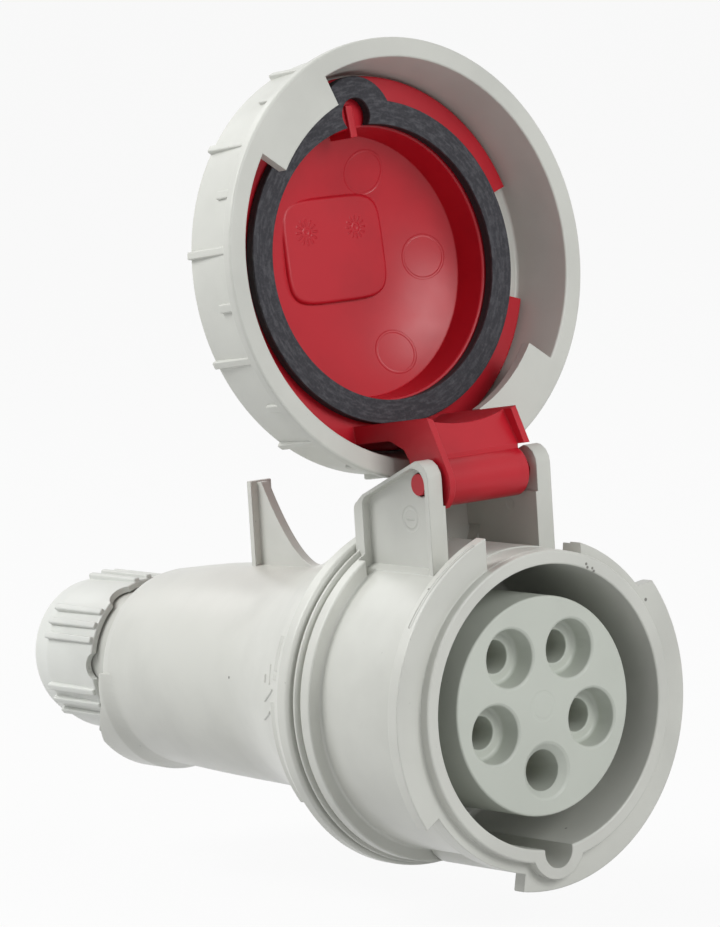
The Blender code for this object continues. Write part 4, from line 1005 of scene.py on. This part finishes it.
def lobed_circle(radius, lobe_r, lobe_centre_r, steps):
    """A circle with a round lobe at the key, turned with it."""
    cosine = (radius ** 2 + lobe_centre_r ** 2 - lobe_r ** 2) / (2 * radius * lobe_centre_r)
    meet = math.degrees(math.acos(cosine))
    x, z = around(radius, meet)
    lobe_meet = math.degrees(math.atan2(x, -(z + lobe_centre_r)))
    lobe = arc(lobe_r, -lobe_meet, lobe_meet, 24, (0.0, -lobe_centre_r))
    turn = math.radians(KEY_TURN)
    return [(x * math.cos(turn) - z * math.sin(turn), x * math.sin(turn) + z * math.cos(turn))
            for x, z in lobe + arc(radius, meet, 360.0 - meet, steps)[1:-1]]


def gasket():
    ring = slab("lid_seal", lobed_circle(37.1 * MM, 10.2 * MM, KEY_RIB_CENTRE_R + 1.2 * MM, FINE),
                "Y", GASKET_BACK, GASKET_FACE)
    hole = slab("seal_hole", lobed_circle(31.5 * MM, 3.9 * MM, KEYWAY_CENTRE_R + 1.5 * MM, FINE),
                "Y", GASKET_BACK - MM, GASKET_FACE + MM)
    shaped(ring, "DIFFERENCE", hole)
    soften_edges(ring, 0.35 * MM, 2, 60)
    dressed(swung_open(ring), "lid", GASKET_RUBBER, "gasket_rubber", "lid_gasket")


def locking_ring():
    lip_y = RING_RIM - RING_LIP_T
    web_front, web_back = RING_WEB
    ring = turned("ribbed_ring", [
        (RING_R - 1.6 * MM, RING_BACK, 0.7 * MM), (RING_R - 0.6 * MM, lip_y - 0.3 * MM, 0.3 * MM),
        (RING_LIP_R, lip_y, 0.3 * MM), (RING_LIP_R, RING_RIM, 0.6 * MM), (RING_BORE_R, RING_RIM, 0.5 * MM),
        (RING_ROOT_R, web_front, 0.8 * MM), (RING_WEB_BORE_R, web_front, 0.2 * MM),
        (RING_WEB_BORE_R, web_back, 0.2 * MM), (RING_BORE_R, web_back, 0.8 * MM),
        (RING_BORE_R, RING_BACK, 0.4 * MM)], RIBBED)
    for start, end in RING_LUGS:
        shaped(ring, "UNION", slab("ring_lug", sector(38.8 * MM, RING_BORE_R + MM, start, end),
                                   "Y", RING_RIM - 2.7 * MM, RING_RIM))
    ribs = []
    half_step = 180.0 / RIB_COUNT
    outer, inner = -RING_R + 0.1 * MM, -RING_R + 2.2 * MM
    for i in range(RIB_COUNT):
        turn = RIB_FIRST + 2 * half_step * i
        ribs.append(bar("long_rib", (-0.9 * MM, RING_BACK + 0.3 * MM, outer + 0.3 * MM),
                        (0.9 * MM, lip_y + 0.3 * MM, inner), turn, 0.35 * MM))
        ribs.append(bar("short_rib", (-1.0 * MM, lip_y - 5.6 * MM, outer),
                        (1.0 * MM, lip_y + 0.3 * MM, inner), turn + half_step, 0.35 * MM))
    shaped(ring, "UNION", gathered("ring_ribs", ribs))
    dressed(swung_open(ring), "bayonet_ring", RING_PLASTIC, "ring_grey", "bayonet_ring")


# CAD nodes that stay, with better materials

def refinish(finish, *nodes):
    for name in nodes:
        for holder in frame["nodes"][name].material_slots:
            holder.material = finish.material


def hidden_pieces():
    for pole in ("earth", "neutral", "l3", "l2", "l1"):
        refinish(CONTACT_BRASS, "contact_%s" % pole)
        refinish(SCREW_STEEL, "terminal_screw_%s_1" % pole, "terminal_screw_%s_2" % pole)
    refinish(INSERT_PLASTIC, "carrier_cover")
    refinish(BLACK_RUBBER, "housing_seal", "gland_grommet")
    refinish(GLAND_PLASTIC, "gland_clamp")


# Floor, light and camera

def floor():
    bpy.ops.object.select_all(action="DESELECT")
    bpy.ops.mesh.primitive_plane_add(size=16.0, location=(0.0, 0.0, FLOOR_Z))
    ground = bpy.context.object
    ground.name = "pale_floor"
    bpy.ops.object.transform_apply(location=True, rotation=True, scale=True)
    material = bpy.data.materials.new("pale_floor")
    material.use_nodes = True
    surface = Nodes(material.node_tree)
    surface.tree.nodes.clear()
    matt = surface.node("ShaderNodeBsdfDiffuse", inputs={"Color": FLOOR_GREY})
    glow = surface.node("ShaderNodeEmission", inputs={"Color": WHITE})
    mixed = surface.node("ShaderNodeMixShader", inputs={0: surface.background_rays() * FLOOR_GLOW,
                                                        1: matt, 2: glow})
    surface.node("ShaderNodeOutputMaterial", inputs={0: mixed}, output=None)
    ground.data.materials.append(material)


def studio():
    world = bpy.data.worlds.new("white_tent")
    bpy.context.scene.world = world
    world.use_nodes = True
    sky = Nodes(world.node_tree)
    shader = sky.tree.nodes["Background"]
    shader.inputs["Color"].default_value = WHITE
    sky.feed(shader.inputs["Strength"], sky.background_rays() * (1.0 - SKY_LIGHT) + SKY_LIGHT)
    for name, place, size, power in LAMPS:
        light = bpy.data.lights.new(name, "AREA")
        light.energy = power
        light.size = size
        lamp = bpy.data.objects.new(name, light)
        bpy.context.scene.collection.objects.link(lamp)
        lamp.location = place
        lamp.rotation_euler = (Vector(LAMP_AIM) - lamp.location).to_track_quat("-Z", "Y").to_euler()


def camera():
    """A long lens at the photograph's angle; the photograph is 720 by 927 pixels."""
    azimuth, elevation, roll = (math.radians(angle) for angle in CAMERA_ANGLES)
    level = Vector((math.cos(azimuth), math.sin(azimuth), 0.0))
    back = Vector((math.sin(azimuth) * math.cos(elevation), -math.cos(azimuth) * math.cos(elevation),
                   math.sin(elevation)))
    upright = back.cross(level)
    right = math.cos(roll) * level - math.sin(roll) * upright
    up = math.sin(roll) * level + math.cos(roll) * upright
    lens = bpy.data.cameras.new("photo_camera")
    lens.sensor_width = SENSOR
    lens.lens = FOCAL_PIXELS * SENSOR / PICTURE_HEIGHT
    lens.clip_end = 20.0
    view = bpy.data.objects.new("photo_camera", lens)
    bpy.context.scene.collection.objects.link(view)
    view.matrix_world = (Matrix.Translation(CAMERA_PLACE)
                         @ Matrix((right, up, back)).transposed().to_4x4())
    bpy.context.scene.camera = view


collar_housing()
insert()
grip_housing()
nut()
red_lid()
gasket()
locking_ring()
hidden_pieces()
floor()
studio()
camera()
bpy.context.scene.view_settings.view_transform = "Standard"
